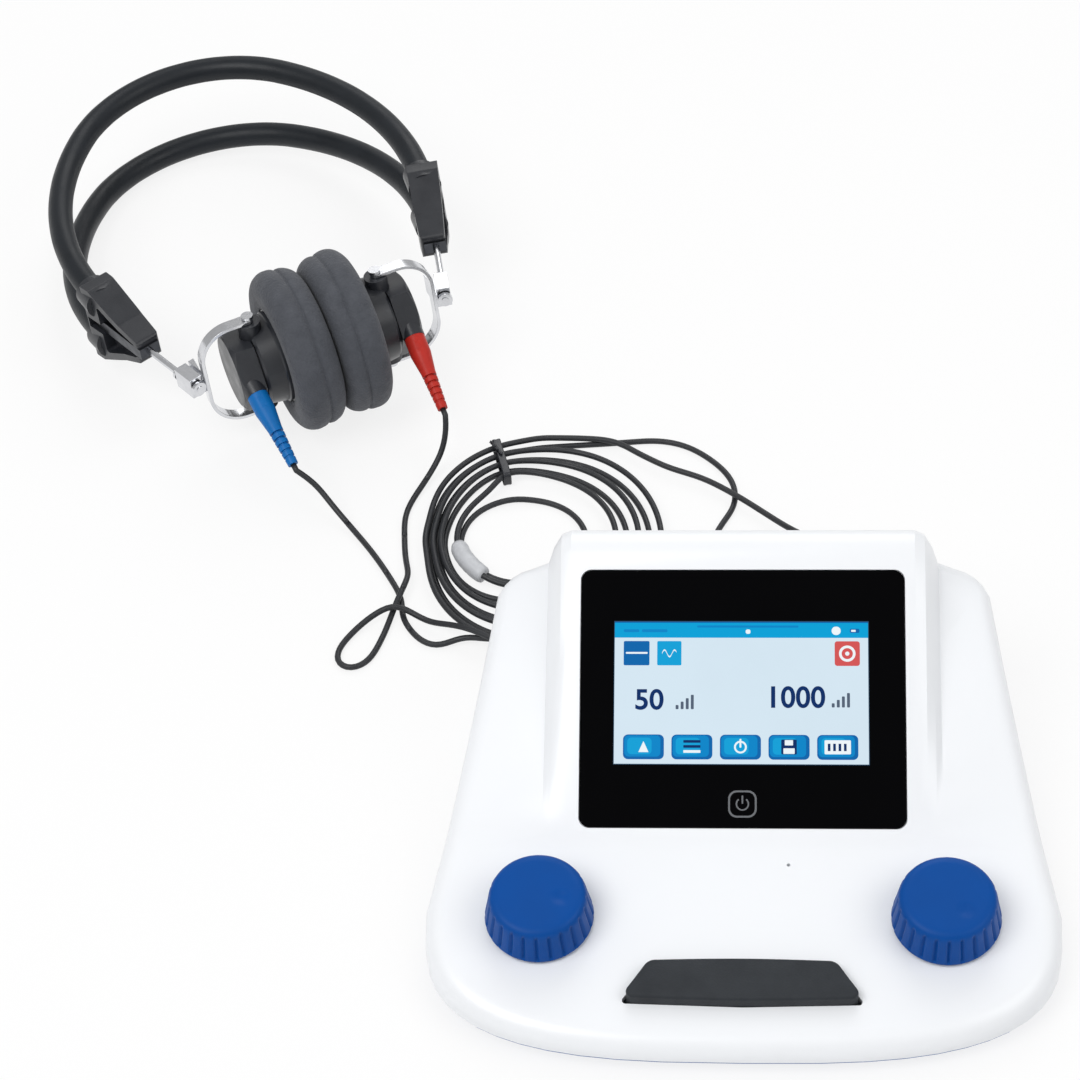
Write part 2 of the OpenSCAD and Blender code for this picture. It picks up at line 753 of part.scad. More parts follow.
fork_r = 15;
module fork_outline(t) {
  half = fork_half - t;
  r = fork_r - t;
  translate([0, -half]) square([fork_back - r - t, 2 * half]);
  translate([0, -half + r]) square([fork_back - t, 2 * half - 2 * r]);
  for (e = [-1, 1]) translate([fork_back - r - t, e * (half - r)]) circle(r = r);
}
module fork_shape() {
  difference() {
    translate([0, -ear_drop + strip_w / 2, 0]) rotate([90, 0, 0]) linear_extrude(strip_w)
      difference() {
        fork_outline(0);
        fork_outline(strip_t);
      }
    translate([-5, -ear_drop - 20, -40]) cube([pivot_s - strip_w / 2 + 5 + 0.6, 40, 80]);
    for (e = [-1, 1]) difference() {
      translate([pivot_s - 5, -ear_drop - 5, e * fork_half - 3]) cube([5.6, 10, 6]);
      translate([pivot_s + 0.6, -ear_drop, e * fork_half - 4]) cylinder(d = strip_w, h = 8);
    }
    translate([pivot_s, -ear_drop, -40]) cylinder(d = pivot_d + 2 * run_gap, h = 80);
  }
}
module left_fork() {
  color(steel) in_arms() mirror([1, 0, 0]) fork_shape();
}
module right_fork() {
  color(steel) in_arms() fork_shape();
}

lug_top = fork_half - strip_t - fit_gap;
module pivots_shape() {
  for (e = [0, 1]) mirror([0, 0, e]) translate([pivot_s, -ear_drop, 0]) {
    translate([0, 0, lug_top - 4]) cylinder(d = pivot_d, h = fork_half + 0.4 - lug_top + 4);
    translate([0, 0, fork_half + 0.2]) cylinder(d = pivot_d + 2.2, h = 1.3);
  }
}
module left_pivots() {
  color(steel) in_arms() mirror([1, 0, 0]) pivots_shape();
}
module right_pivots() {
  color(steel) in_arms() pivots_shape();
}

// Turned pieces of an earphone: profiles give [radius, distance from the cushion face]
module on_ear_axis() {
  translate([0, -ear_drop, 0]) rotate([0, 90, 0]) children();
}

case_s0 = 12.4;
case_s1 = 31;
cap_s1 = 41;
phone_r = phone_d / 2;
module phone_shape() {
  difference() {
    union() {
      on_ear_axis() rotate_extrude() polygon([[0, case_s0], [phone_r + 1, case_s0],
        [phone_r + 1, 19.4], [phone_r - 1, 19.8], [phone_r - 1, 21.4], [phone_r - 1.6, 22],
        [phone_r - 2.6, 29.4], [phone_r - 3.6, 30.4], [phone_r - 6, 30.4], [phone_r - 6, case_s1],
        [0, case_s1]]);
      for (e = [0, 1]) mirror([0, 0, e]) translate([pivot_s, -ear_drop, 10])
        cylinder(d = 10, h = lug_top - 10);
    }
    on_ear_axis() translate([0, 0, case_s0 - 1]) cylinder(d = 30, h = 9);
    for (e = [0, 1]) mirror([0, 0, e]) translate([pivot_s, -ear_drop, lug_top - 5])
      cylinder(d = pivot_d + 2 * run_gap, h = 10);
  }
}
module left_phone() {
  color(charcoal) in_arms() mirror([1, 0, 0]) phone_shape();
}
module right_phone() {
  color(charcoal) in_arms() phone_shape();
}

plug_s = 36.2;
plug_dir = unit([-2, -33, -17]);
plug_from = [plug_s, -ear_drop - 15, 0];
boss_l = 4;
plug_start = plug_from + plug_dir * boss_l;
plug_end = plug_start + plug_dir * plug_l;

module along(origin, dir) {
  tilt = acos(dir[2]);
  turn = atan2(dir[1], dir[0]);
  translate(origin) rotate([0, tilt, turn]) children();
}

module cap_shape() {
  difference() {
    union() {
      on_ear_axis() translate([0, 0, case_s1 + 0.05]) intersection() {
        rotate([0, 0, 30]) cylinder(d = 37, h = cap_s1 - case_s1, $fn = 6);
        rotate_extrude() polygon([[0, 0], [19, 0], [19, 7.5], [15.5, cap_s1 - case_s1],
          [0, cap_s1 - case_s1]]);
      }
      along(plug_from - plug_dir * 4, plug_dir) cylinder(d = 9.4, h = boss_l + 4);
    }
    for (e = [0, 1]) mirror([0, 0, e]) translate([pivot_s, -ear_drop, 9.85])
      cylinder(d = 10.3, h = 12);
  }
}
module left_cap() {
  color(black) in_arms() mirror([1, 0, 0]) cap_shape();
}
module right_cap() {
  color(black) in_arms() cap_shape();
}

face_gap = 0.3;
roll_r = cushion_d / 2;
module cushion_shape() {
  groove_s = 8.2;
  flange = phone_r + 1 + 0.3;
  on_ear_axis() rotate_extrude($fn = 96) polygon(concat(
    [[9, face_gap + 4], [12, face_gap + 1.2], [16, face_gap + 0.2], [20, face_gap]],
    [for (a = [0:15:90]) [roll_r - 8.6 + 8 * sin(a), face_gap + 8 * (1 - cos(a))]],
    [[roll_r - 1.7, groove_s + 0.5]],
    [for (a = [10:16:90]) [roll_r - 6 + 6 * sin(a), groove_s + 7.2 - 6 * cos(a)]],
    [for (a = [15:15:90]) [roll_r - 6 + 6 * cos(a), cushion_t - 6 + 6 * sin(a)]],
    [[flange - 1.6, cushion_t], [flange - 1.6, 20.1], [flange, 19.7], [flange, case_s0 - 0.3],
      [9, case_s0 - 0.3]]));
}
module left_cushion() {
  color(charcoal) in_arms() mirror([1, 0, 0]) cushion_shape();
}
module right_cushion() {
  color(charcoal) in_arms() cushion_shape();
}

module driver_shape() {
  on_ear_axis() translate([0, 0, case_s0 + 0.05]) rotate_extrude()
    polygon([[0, 0], [14.9, 0], [14.9, 2], [10, 2.2], [10, 7.8], [0, 7.8]]);
}
module left_driver() {
  color(steel) in_arms() mirror([1, 0, 0]) driver_shape();
}
module right_driver() {
  color(steel) in_arms() driver_shape();
}

module plug_shape() {
  along(plug_start, plug_dir) difference() {
    union() {
      cylinder(d = 9, h = 8);
      translate([0, 0, 8]) cylinder(d1 = 9, d2 = 6.4, h = 9);
      translate([0, 0, 17]) cylinder(d1 = 6.4, d2 = 4.4, h = plug_l - 17);
      translate([3.2, 0, 6]) cylinder(d1 = 6, d2 = 3.6, h = 10);
    }
    for (i = [0:4]) translate([0, 0, 19 + 3 * i]) difference() {
      cylinder(d = 12, h = 1.1);
      translate([0, 0, -1]) cylinder(d = 4, h = 4);
    }
    for (i = [0:2]) translate([-5.3, 0, 3 + 4 * i]) rotate([90, 0, 0])
      cylinder(d = 2, h = 8, center = true);
  }
}
module left_plug() {
  color([0.05, 0.42, 0.75]) in_arms() mirror([1, 0, 0]) plug_shape();
}
module right_plug() {
  color([0.72, 0.22, 0.18]) in_arms() plug_shape();
}

// ---------- leads ----------

function turn_x(p, a) = [p[0], p[1] * cos(a) - p[2] * sin(a), p[1] * sin(a) + p[2] * cos(a)];
function turn_y(p, a) = [p[0] * cos(a) + p[2] * sin(a), p[1], -p[0] * sin(a) + p[2] * cos(a)];
function turn_z(p, a) = [p[0] * cos(a) - p[1] * sin(a), p[0] * sin(a) + p[1] * cos(a), p[2]];
function out_of_head(p) =
  turn_z(turn_y(turn_x(p, head_turn[0]), head_turn[1]), head_turn[2]);
function flip(p) = [-p[0], p[1], p[2]];

shift = [ear_shift, 0, 0];
left_tip = head_pos + out_of_head(flip(plug_end) + shift);
right_tip = head_pos + out_of_head(plug_end + shift);
echo(left_tip = left_tip, right_tip = right_tip);
left_way = out_of_head(flip(plug_dir));
right_way = out_of_head(plug_dir);

lead_z = lead_d / 2 + 0.05;
coil_at = [6.5, -2];

// k counts turns from the inner end; lane is 0 for the lower lead and 0.5 for the upper one
coil_first = 270;
layer = lead_d + 0.2;
inner_r = 28;
tie_a = 105;
tie_c = 50;
sleeve_a = 212;

function bump(a, middle, width) = exp(-pow((a - middle) / width, 2));
function inner_at(a) = inner_r + 2.2 * cos(a - 160);
function outer_at(a) = 55.8 + 9 * cos(a) + 1.8 * sin(a) - 5.5 * cos(2 * a);
function turns_at(a) = 3.7 + 0.35 * cos(a - 110);
function turn_step(a) = max(turn_min, (outer_at(a) - inner_at(a)) / turns_at(a));
function draw_in(k, lane) =
  lane == 0
  ? (3.5 + 4 * smooth((k - 0.35) / 0.15)) * smooth((1.15 - k) / 0.35)
  : 3.5 * smooth((0.55 - k) / 0.2);
function pinch(r, a) = r < 34 ? r : tie_c + (r - tie_c) * (1 - 0.3 * bump(a, tie_a, 26));
function coil_point(k, lane) =
  let(
    turn = coil_first - 360 * k,
    a = turn - 360 * floor(turn / 360),
    r = pinch(inner_at(a) + turn_step(a) * (k + lane) - draw_in(k, lane), a),
    z = lead_z + (lane > 0 ? layer : 0) + 1.4 * bump(a, tie_a, 16)
      + (k < 0.5 ? 2.4 * bump(a, sleeve_a, 28) : 0)
  )
  [coil_at[0] + r * cos(a), coil_at[1] + r * sin(a), z];
coil_rings = 24;
function coil_route(lane) =
  [for (i = [0:floor(coil_turns * coil_rings)]) coil_point(i / coil_rings, lane)];

left_turns = coil_route(0);
right_turns = coil_route(0.5);

function far_gap(points, skip) =
  min([for (i = [0:len(points) - 1]) for (j = [i + skip:1:len(points) - 1])
    norm(points[i] - points[j])]) - lead_d;
function pair_gap(one, two) = min([for (p = one) for (q = two) norm(p - q)]) - lead_d;
echo(left_coil_gap = far_gap(left_turns, 12), right_coil_gap = far_gap(right_turns, 12));
echo(between_coils = pair_gap(left_turns, right_turns));

module left_coil() {
  color(black) tube(left_turns, lead_d, 6);
}
module right_coil() {
  color(black) tube(right_turns, lead_d, 6);
}

left_in = left_turns[0];
left_in_dir = unit(left_turns[1] - left_turns[0]);
right_in = right_turns[0];
right_in_dir = unit(right_turns[1] - right_turns[0]);
left_out = left_turns[len(left_turns) - 1];
left_out_dir = unit(left_out - left_turns[len(left_turns) - 2]);
right_out = right_turns[len(right_turns) - 1];
right_out_dir = unit(right_out - right_turns[len(right_turns) - 2]);

// Points round the coil, by radius, angle and height
function round_coil(rows) =
  [for (p = rows) [coil_at[0] + p[0] * cos(p[1]), coil_at[1] + p[0] * sin(p[1]), p[2]]];

left_route = concat(
  [[-83, 22, 13], [-75.5, 15, 7], [-67, 6, 2.5], [-57, -8, lead_z], [-48, -24, lead_z],
    [-43, -35, lead_z], [-42, -45, lead_z], [-38, -53, lead_z], [-33, -59, lead_z],
    [-27, -62, lead_z], [-21, -60, lead_z + 1], [-15, -59, 4]],
  round_coil([[62, 262, 7], [59, 277, 8], [54, 291, 8], [45, 303, 8], [35, 307, 8],
    [28, 301, 6.2], [26.5, 288, 3.2]]));
right_route = concat(
  [[-32, 58, 13], [-36, 48, 6.5], [-40, 39, 2.5], [-44.5, 18, lead_z],
    [-44.5, 2, lead_z], [-43, -12, lead_z], [-41, -22, lead_z + 1.8], [-42, -30, lead_z + 3.4],
    [-45, -40, lead_z + 2], [-48, -52, lead_z], [-51, -63, lead_z], [-56, -72, lead_z],
    [-62, -74, lead_z], [-66, -68, lead_z], [-64.5, -59, lead_z], [-58, -50, lead_z + 1],
    [-50, -45, lead_z + 4], [-44, -43, lead_z + 4.8], [-36, -46, lead_z + 1.6],
    [-30, -50, lead_z + 1.6], [-22, -54, 6], [-12, -60, 9]],
  round_coil([[66, 266, 9.4], [66, 281, 9], [63, 296, 8.4], [55, 309, 8], [44, 315, 8],
    [34, 314, 9.6], [30, 304, 10.4], [30.5, 290, 6.4]]));
left_back = [[41.5, 59, lead_z], [59.5, 60.5, lead_z], [71, 57.5, lead_z], [80, 51, lead_z],
  [88, 42, lead_z], [92.5, 32, lead_z], [92.5, 20, lead_z], [86, 6, lead_z], [84, -5, 3],
  [89, -13, 8], [98, -16, 13], [104.5, -20, 16.5], [106.5, -27, 18]];
right_back = [[39, 58, 4], [52, 49.5, 4], [64.5, 41, 4], [79.5, 34, 4], [94.5, 22.5, 4.2],
  [114.5, 4, 4.5], [125, -8, 9], [128.5, -19, 15]];

module left_lead() {
  color(black) tube(concat([left_tip, left_tip + left_way * 3], left_route,
    [left_in - left_in_dir * 3, left_in]), lead_d, 8);
}
module right_lead() {
  color(black) tube(concat([right_tip, right_tip + right_way * 3], right_route,
    [right_in - right_in_dir * 3, right_in]), lead_d, 8);
}

jack_l = 32;
jack_tail = 12;
function jack_end(x) =
  [base_pos[0] + x, base_pos[1] + base_d + 1 + jack_l + jack_tail, socket_z];
left_jack_end = jack_end(rear_ports[0]);
right_jack_end = jack_end(rear_ports[1]);

module left_tail() {
  color(black) tube(concat([left_out, left_out + left_out_dir * 3], left_back,
    [left_jack_end + [0, 3, 0], left_jack_end]), lead_d, 8);
}
module right_tail() {
  color(black) tube(concat([right_out, right_out + right_out_dir * 3], right_back,
    [right_jack_end + [0, 3, 0], right_jack_end]), lead_d, 8);
}

// The sleeve follows the middle of the two leads that pass through it
sleeve_d = 7.7;
function sleeve_at(k) = (coil_point(k, 0) + coil_point(k, 0.5)) / 2;
module label_sleeve() {
  color([0.75, 0.75, 0.77]) difference() {
    tube([for (i = [0:7]) sleeve_at(0.1 + 0.0175 * i)], sleeve_d, 16);
    tube([for (i = [-1:8]) sleeve_at(0.1 + 0.0175 * i)], sleeve_d - 0.9, 16);
  }
}

tie_t = 0.9;
tie_w = 3.5;
module twist_tie() {
  low = 1.2;
  high = lead_z + 1.4 + layer + lead_d / 2 + 0.4;
  color(black) translate([coil_at[0], coil_at[1], 0]) rotate([0, 0, tie_a])
    translate([0, tie_w / 2, 0]) rotate([90, 0, 0]) linear_extrude(tie_w) difference() {
      polygon(rounded([[tie_r0 - tie_t, low - tie_t], [tie_r1 + tie_t, low - tie_t],
        [tie_r1 + tie_t, high + tie_t], [tie_r0 - tie_t, high + tie_t]], 1.6));
      polygon(rounded([[tie_r0, low], [tie_r1, low], [tie_r1, high], [tie_r0, high]], 0.8));
    }
}
tie_r0 = 36.7;
tie_r1 = 59.3;

module jack_shape(x) {
  in_base() translate([x, base_d + 1, socket_z]) rotate([-90, 0, 0]) {
    translate([0, 0, -15]) cylinder(d = jack_bore - 0.1, h = 15);
    cylinder(d = 11, h = jack_l);
    translate([0, 0, jack_l]) cylinder(d1 = 8, d2 = 4.2, h = jack_tail);
  }
}
module left_jack() {
  color(charcoal) jack_shape(rear_ports[0]);
}
module right_jack() {
  color(charcoal) jack_shape(rear_ports[1]);
}

upper_case();
lower_case();
cover_glass();
display_module();
display_bracket();
bar_key();
key_switches();
left_knob();
right_knob();
left_encoder();
right_encoder();
left_shaft();
right_shaft();
encoder_nuts();
main_board();
board_screws();
case_screws();
rubber_feet();
microphone();
phone_sockets();
response_socket();
usb_socket();
power_inlet();
upper_band();
lower_band();
left_block();
right_block();
left_guide();
right_guide();
block_screws();
left_rod();
right_rod();
left_clamp();
right_clamp();
left_fork();
right_fork();
left_pivots();
right_pivots();
left_phone();
right_phone();
left_cap();
right_cap();
left_cushion();
right_cushion();
left_driver();
right_driver();
left_plug();
right_plug();
left_lead();
right_lead();
left_coil();
right_coil();
left_tail();
right_tail();
label_sleeve();
twist_tie();
left_jack();
right_jack();
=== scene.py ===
"""Desktop audiometer with headset: finishes, soft pieces, leads and lit display."""

from math import acos, atan2, cos, exp, pi, radians, sin, tan

import bpy
from mathutils import Matrix, Vector, noise


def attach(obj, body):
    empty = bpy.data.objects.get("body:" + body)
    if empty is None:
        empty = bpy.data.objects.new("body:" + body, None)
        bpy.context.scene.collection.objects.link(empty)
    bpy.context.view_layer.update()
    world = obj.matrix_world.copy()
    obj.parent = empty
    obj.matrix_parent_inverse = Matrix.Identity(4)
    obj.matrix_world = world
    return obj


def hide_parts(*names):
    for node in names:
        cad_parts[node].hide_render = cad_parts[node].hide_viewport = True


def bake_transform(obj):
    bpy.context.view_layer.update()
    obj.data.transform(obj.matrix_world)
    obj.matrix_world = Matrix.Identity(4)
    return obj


bl_info = {
    "name": "Audiometer with headset",
    "version": (1, 0, 0),
    "blender": (4, 5, 0),
    "location": "View3D > Sidebar > Audiometer",
    "description": "Finishes and soft pieces of a desktop audiometer and its headset",
    "category": "Object",
}

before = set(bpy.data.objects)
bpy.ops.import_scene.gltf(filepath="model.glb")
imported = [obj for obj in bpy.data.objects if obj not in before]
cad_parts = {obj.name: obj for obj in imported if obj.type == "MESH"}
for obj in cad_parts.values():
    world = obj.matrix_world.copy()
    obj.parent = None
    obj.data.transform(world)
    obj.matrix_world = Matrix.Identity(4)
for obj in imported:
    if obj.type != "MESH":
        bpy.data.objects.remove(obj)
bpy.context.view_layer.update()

MM = 0.001
ROOT = "base_unit_and_headband"

# Where the base unit and the headset stand in millimetres, and the headset's turn in degrees,
# as in the solid model
BASE_AT = Vector((96.5, -273.0, 0.0))
HEAD_AT = Vector((-117.6, 153.0, 32.75))
HEAD_TURN = (-3.17, -3.5, 26.0)
ARM_SHIFT = 1.0

# Base unit, its panel and its glass, millimetres and degrees
BASE_D = 196.0
PANEL_FRONT = 13.5
PANEL_DEPTH = 91.5
PANEL_SLOPE = 8.0
GLASS_SLOPE = 33.0
GLASS_EDGE = 1.2
SCREEN_LEFT = -48.0
SCREEN_FOOT = 24.0
TOUCH_KEY_UP = 9.0

# Bar key: its back edge is a share of its front edge
KEY_Y = 26.2
KEY_D = 15.0
KEY_BACK = 0.77
KEY_BOW = 1.2

# Dial knobs
KNOB_PITCH = 148.0
KNOB_Y = 54.0
KNOB_LIFT = 0.8
KNOB_H = 15.5
GRIP_SLITS = 24
SLIT_STEPS = 12
DIMPLE_FROM_AXIS = 8.5
DIMPLE_R = 4.0
DIMPLE_DEPTH = 0.55

# Headband arcs
BAND_GAP = 23.6
BAND_SPLAY = 3.8
CROWN_R = 65.0
SIDE_R = 120.0
CROWN_HALF = 48.0
BAND_END = 98.2
SOCKET_IN = 13.5

# Earphones
EAR_DROP = 75.0
CASE_START = 12.4
PHONE_R = 21.0
FACE_GAP = 0.3
CUSHION_BORE = 9.0
FRONT_ROLL = 7.6
BACK_ROLL = 7.4
PLUG_FROM = Vector((36.2, -90.0, 0.0))
PLUG_DIR = Vector((-2, -33, -17)).normalized()
BOSS = 4.0
PLUG = 35.0

# Leads: the coil, the tie's angle round it, the jacks, and the short pieces cut at the plug end
# with the bodies of their joints
COIL_AT = Vector((6.5, -2.0, 0.0))
COIL_TURNS = 3.54
TIE_AT = 105
SLEEVE_FROM = 0.1
SLEEVE_TURN = 0.1225
SLEEVE_R = 3.75
JACK_OUT = 45.0
JACK_UP = 18.0
LEAD_LOW = 1.28
LEAD_FLAT = 1.3
LEAD_STEP = 2.2
LEAD_STRETCH = 33.0
LEAD_FOLLOWS = (("_lead_end", ("_earphone_body", "_fork_body")),
                ("_lead_bend", ("_fork_body", "_rod_body")),
                ("_lead_rise", ("_rod_body", ROOT)))


# ---- settings

def length(name, text, default):
    """One size setting, in metres."""
    return bpy.props.FloatProperty(name=name, description=text, default=default, unit="LENGTH")


class AudiometerSizes(bpy.types.PropertyGroup):
    """Sizes of the pieces that are made here"""

    lead_d: length("Lead diameter", "Diameter of each headset lead", 0.0025)
    band_d: length("Headband diameter", "Diameter of each padded headband tube", 0.011)
    cushion_d: length("Cushion diameter", "Outside diameter of an ear cushion", 0.072)
    cushion_t: length("Cushion depth", "Depth of an ear cushion", 0.021)
    knob_d: length("Knob diameter", "Diameter of each dial knob at its base", 0.04)
    key_w: length("Bar key width", "Width of the bar key at its front", 0.088)
    key_h: length("Bar key height", "Height of the bar key over the panel", 0.005)
    screen_w: length("Screen width", "Width of the lit screen", 0.095)
    screen_h: length("Screen height", "Height of the lit screen", 0.0541)


def colour(name, text, rgb):
    """One colour setting, with its default written as screen values from 0 to 255."""
    return bpy.props.FloatVectorProperty(
        name=name, description=text, subtype="COLOR", size=3, min=0, max=1,
        default=tuple(linear(v) for v in rgb))


def linear(v):
    """Screen value 0 to 255 as linear light."""
    c = v / 255
    return c / 12.92 if c <= 0.04045 else ((c + 0.055) / 1.055) ** 2.4


def lit(*rgb):
    """Linear colour with alpha from screen values."""
    return tuple(linear(v) for v in rgb) + (1.0,)


class AudiometerColours(bpy.types.PropertyGroup):
    """Colours of the finishes"""

    shell: colour("Shell", "Glossy shell of the base unit", (239, 241, 244))
    tray: colour("Tray", "Lower tray of the base unit", (0, 84, 160))
    knob: colour("Knobs", "Dial knobs", (0, 72, 150))
    bar: colour("Bar key", "Soft coating of the bar key", (40, 44, 49))
    cushion: colour("Cushions", "Moulded skin of the ear cushions", (70, 73, 80))
    band: colour("Headbands", "Smooth cover of the headbands", (24, 28, 33))
    housing: colour("Housings", "Plastic of blocks, earphones and caps", (36, 38, 43))
    lead: colour("Leads", "Jacket of the leads", (30, 32, 36))
    left_mark: colour("Left plug", "Blue plug of the left earphone", (6, 104, 176))
    right_mark: colour("Right plug", "Red plug of the right earphone", (184, 44, 34))
    sleeve: colour("Sleeve", "Shrink sleeve on the leads", (196, 198, 202))


def sizes():
    return bpy.context.scene.audiometer_sizes


def tint(name):
    return tuple(getattr(bpy.context.scene.audiometer_colours, name)) + (1.0,)


# ---- shader groups

def feed(tree, node, inputs):
    """Gives a node its inputs: values, or links from other nodes' outputs."""
    for key, value in inputs.items():
        if isinstance(value, bpy.types.NodeSocket):
            tree.links.new(value, node.inputs[key])
        else:
            node.inputs[key].default_value = value


def add_node(tree, kind, inputs=None, **settings):
    """New node with its settings made first and its inputs after them."""
    node = tree.nodes.new(kind)
    for key, value in settings.items():
        setattr(node, key, value)
    feed(tree, node, inputs or {})
    return node


def new_group(name, kind, inputs, outputs):
    """New node group with inputs (name, type, default) and outputs (name, type)."""
    tree = bpy.data.node_groups.new(name, kind)
    for label, sort, value in inputs:
        made = tree.interface.new_socket(name=label, in_out="INPUT",
                                         socket_type="NodeSocket" + sort)
        if value is not None:
            made.default_value = value
    for label, sort in outputs:
        tree.interface.new_socket(name=label, in_out="OUTPUT", socket_type="NodeSocket" + sort)
    return tree, tree.nodes.new("NodeGroupInput"), tree.nodes.new("NodeGroupOutput")


def mottle_group():
    """Slow colour and gloss changes over a surface, such as handling and light dust."""
    tree = bpy.data.node_groups.get("surface_mottle")
    if tree:
        return tree
    tree, ins, outs = new_group(
        "surface_mottle", "ShaderNodeTree",
        (("Colour", "Color", (0.5, 0.5, 0.5, 1)), ("Mark Colour", "Color", (0.4, 0.4, 0.4, 1)),
         ("Mark Amount", "Float", 0.2), ("Mark Scale", "Float", 30.0),
         ("Roughness", "Float", 0.4), ("Roughness Spread", "Float", 0.1)),
        (("Colour", "Color"), ("Roughness", "Float")))
    place = add_node(tree, "ShaderNodeTexCoord")
    cloud = add_node(tree, "ShaderNodeTexNoise", {
        "Vector": place.outputs["Object"], "Scale": ins.outputs["Mark Scale"],
        "Detail": 6, "Roughness": 0.6})
    spread = add_node(tree, "ShaderNodeMapRange", {
        "Value": cloud.outputs["Fac"], "From Min": 0.35, "From Max": 0.7})
    amount = add_node(tree, "ShaderNodeMath", {
        0: spread.outputs["Result"], 1: ins.outputs["Mark Amount"]}, operation="MULTIPLY")
    mix = add_node(tree, "ShaderNodeMix", {
        "Factor": amount.outputs[0], "A": ins.outputs["Colour"],
        "B": ins.outputs["Mark Colour"]}, data_type="RGBA")
    gloss = add_node(tree, "ShaderNodeMath", {
        0: spread.outputs["Result"], 1: ins.outputs["Roughness Spread"],
        2: ins.outputs["Roughness"]}, operation="MULTIPLY_ADD")
    feed(tree, outs, {"Colour": mix.outputs["Result"], "Roughness": gloss.outputs[0]})
    return tree


def grain_group():
    """Moulded grain: fine pebbles over a soft waviness, as a height."""
    tree = bpy.data.node_groups.get("moulded_grain")
    if tree:
        return tree
    tree, ins, outs = new_group(
        "moulded_grain", "ShaderNodeTree",
        (("Grain Scale", "Float", 1500.0), ("Grain Share", "Float", 0.6),
         ("Wave Scale", "Float", 120.0)), (("Height", "Float"),))
    place = add_node(tree, "ShaderNodeTexCoord").outputs["Object"]
    pebble = add_node(tree, "ShaderNodeTexVoronoi", {
        "Vector": place, "Scale": ins.outputs["Grain Scale"]}, feature="SMOOTH_F1")
    wave = add_node(tree, "ShaderNodeTexNoise", {
        "Vector": place, "Scale": ins.outputs["Wave Scale"], "Detail": 3})
    mix = add_node(tree, "ShaderNodeMix", {
        "Factor": ins.outputs["Grain Share"], "A": wave.outputs["Fac"],
        "B": pebble.outputs["Distance"]})
    feed(tree, outs, {"Height": mix.outputs["Result"]})
    return tree


def finish(name, base, marks, amount=0.2, scale=30, rough=0.4, spread=0.1, grain=1500, share=0.6,
           depth=0.15, step=0.0002, metallic=0.0, coat=0.0, coat_rough=0.05, sheen=0.0, ior=1.5,
           wave=120):
    """One material: a mottled colour and gloss, and a moulded grain in the bump."""
    mat = bpy.data.materials.new(name + "_finish")
    mat.use_nodes = True
    tree = mat.node_tree
    mottle = add_node(tree, "ShaderNodeGroup", {
        "Colour": base, "Mark Colour": marks, "Mark Amount": amount, "Mark Scale": scale,
        "Roughness": rough, "Roughness Spread": spread}, node_tree=mottle_group())
    height = add_node(tree, "ShaderNodeGroup", {
        "Grain Scale": grain, "Grain Share": share, "Wave Scale": wave}, node_tree=grain_group())
    bump = add_node(tree, "ShaderNodeBump", {
        "Strength": depth, "Distance": step, "Height": height.outputs["Height"]})
    feed(tree, tree.nodes["Principled BSDF"], {
        "Base Color": mottle.outputs["Colour"], "Roughness": mottle.outputs["Roughness"],
        "Normal": bump.outputs["Normal"], "Metallic": metallic, "Coat Weight": coat,
        "Coat Roughness": coat_rough, "Sheen Weight": sheen, "Sheen Roughness": 0.5, "IOR": ior})
    return mat


def shade(c, f):
    return (c[0] * f, c[1] * f, c[2] * f, 1.0)


def glow(name, rgb, strength):
    """Lit part of the screen: a flat colour with a very faint unevenness of the backlight."""
    mat = bpy.data.materials.get(name)
    if mat:
        return mat
    mat = bpy.data.materials.new(name)
    mat.use_nodes = True
    tree, c = mat.node_tree, lit(*rgb)
    mottle = add_node(tree, "ShaderNodeGroup", {
        "Colour": c, "Mark Colour": shade(c, 0.93), "Mark Amount": 0.5, "Mark Scale": 22},
        node_tree=mottle_group())
    feed(tree, tree.nodes["Principled BSDF"], {
        "Base Color": shade(c, 0.08), "Roughness": 0.12, "IOR": 1.2,
        "Emission Color": mottle.outputs["Colour"], "Emission Strength": strength})
    return mat


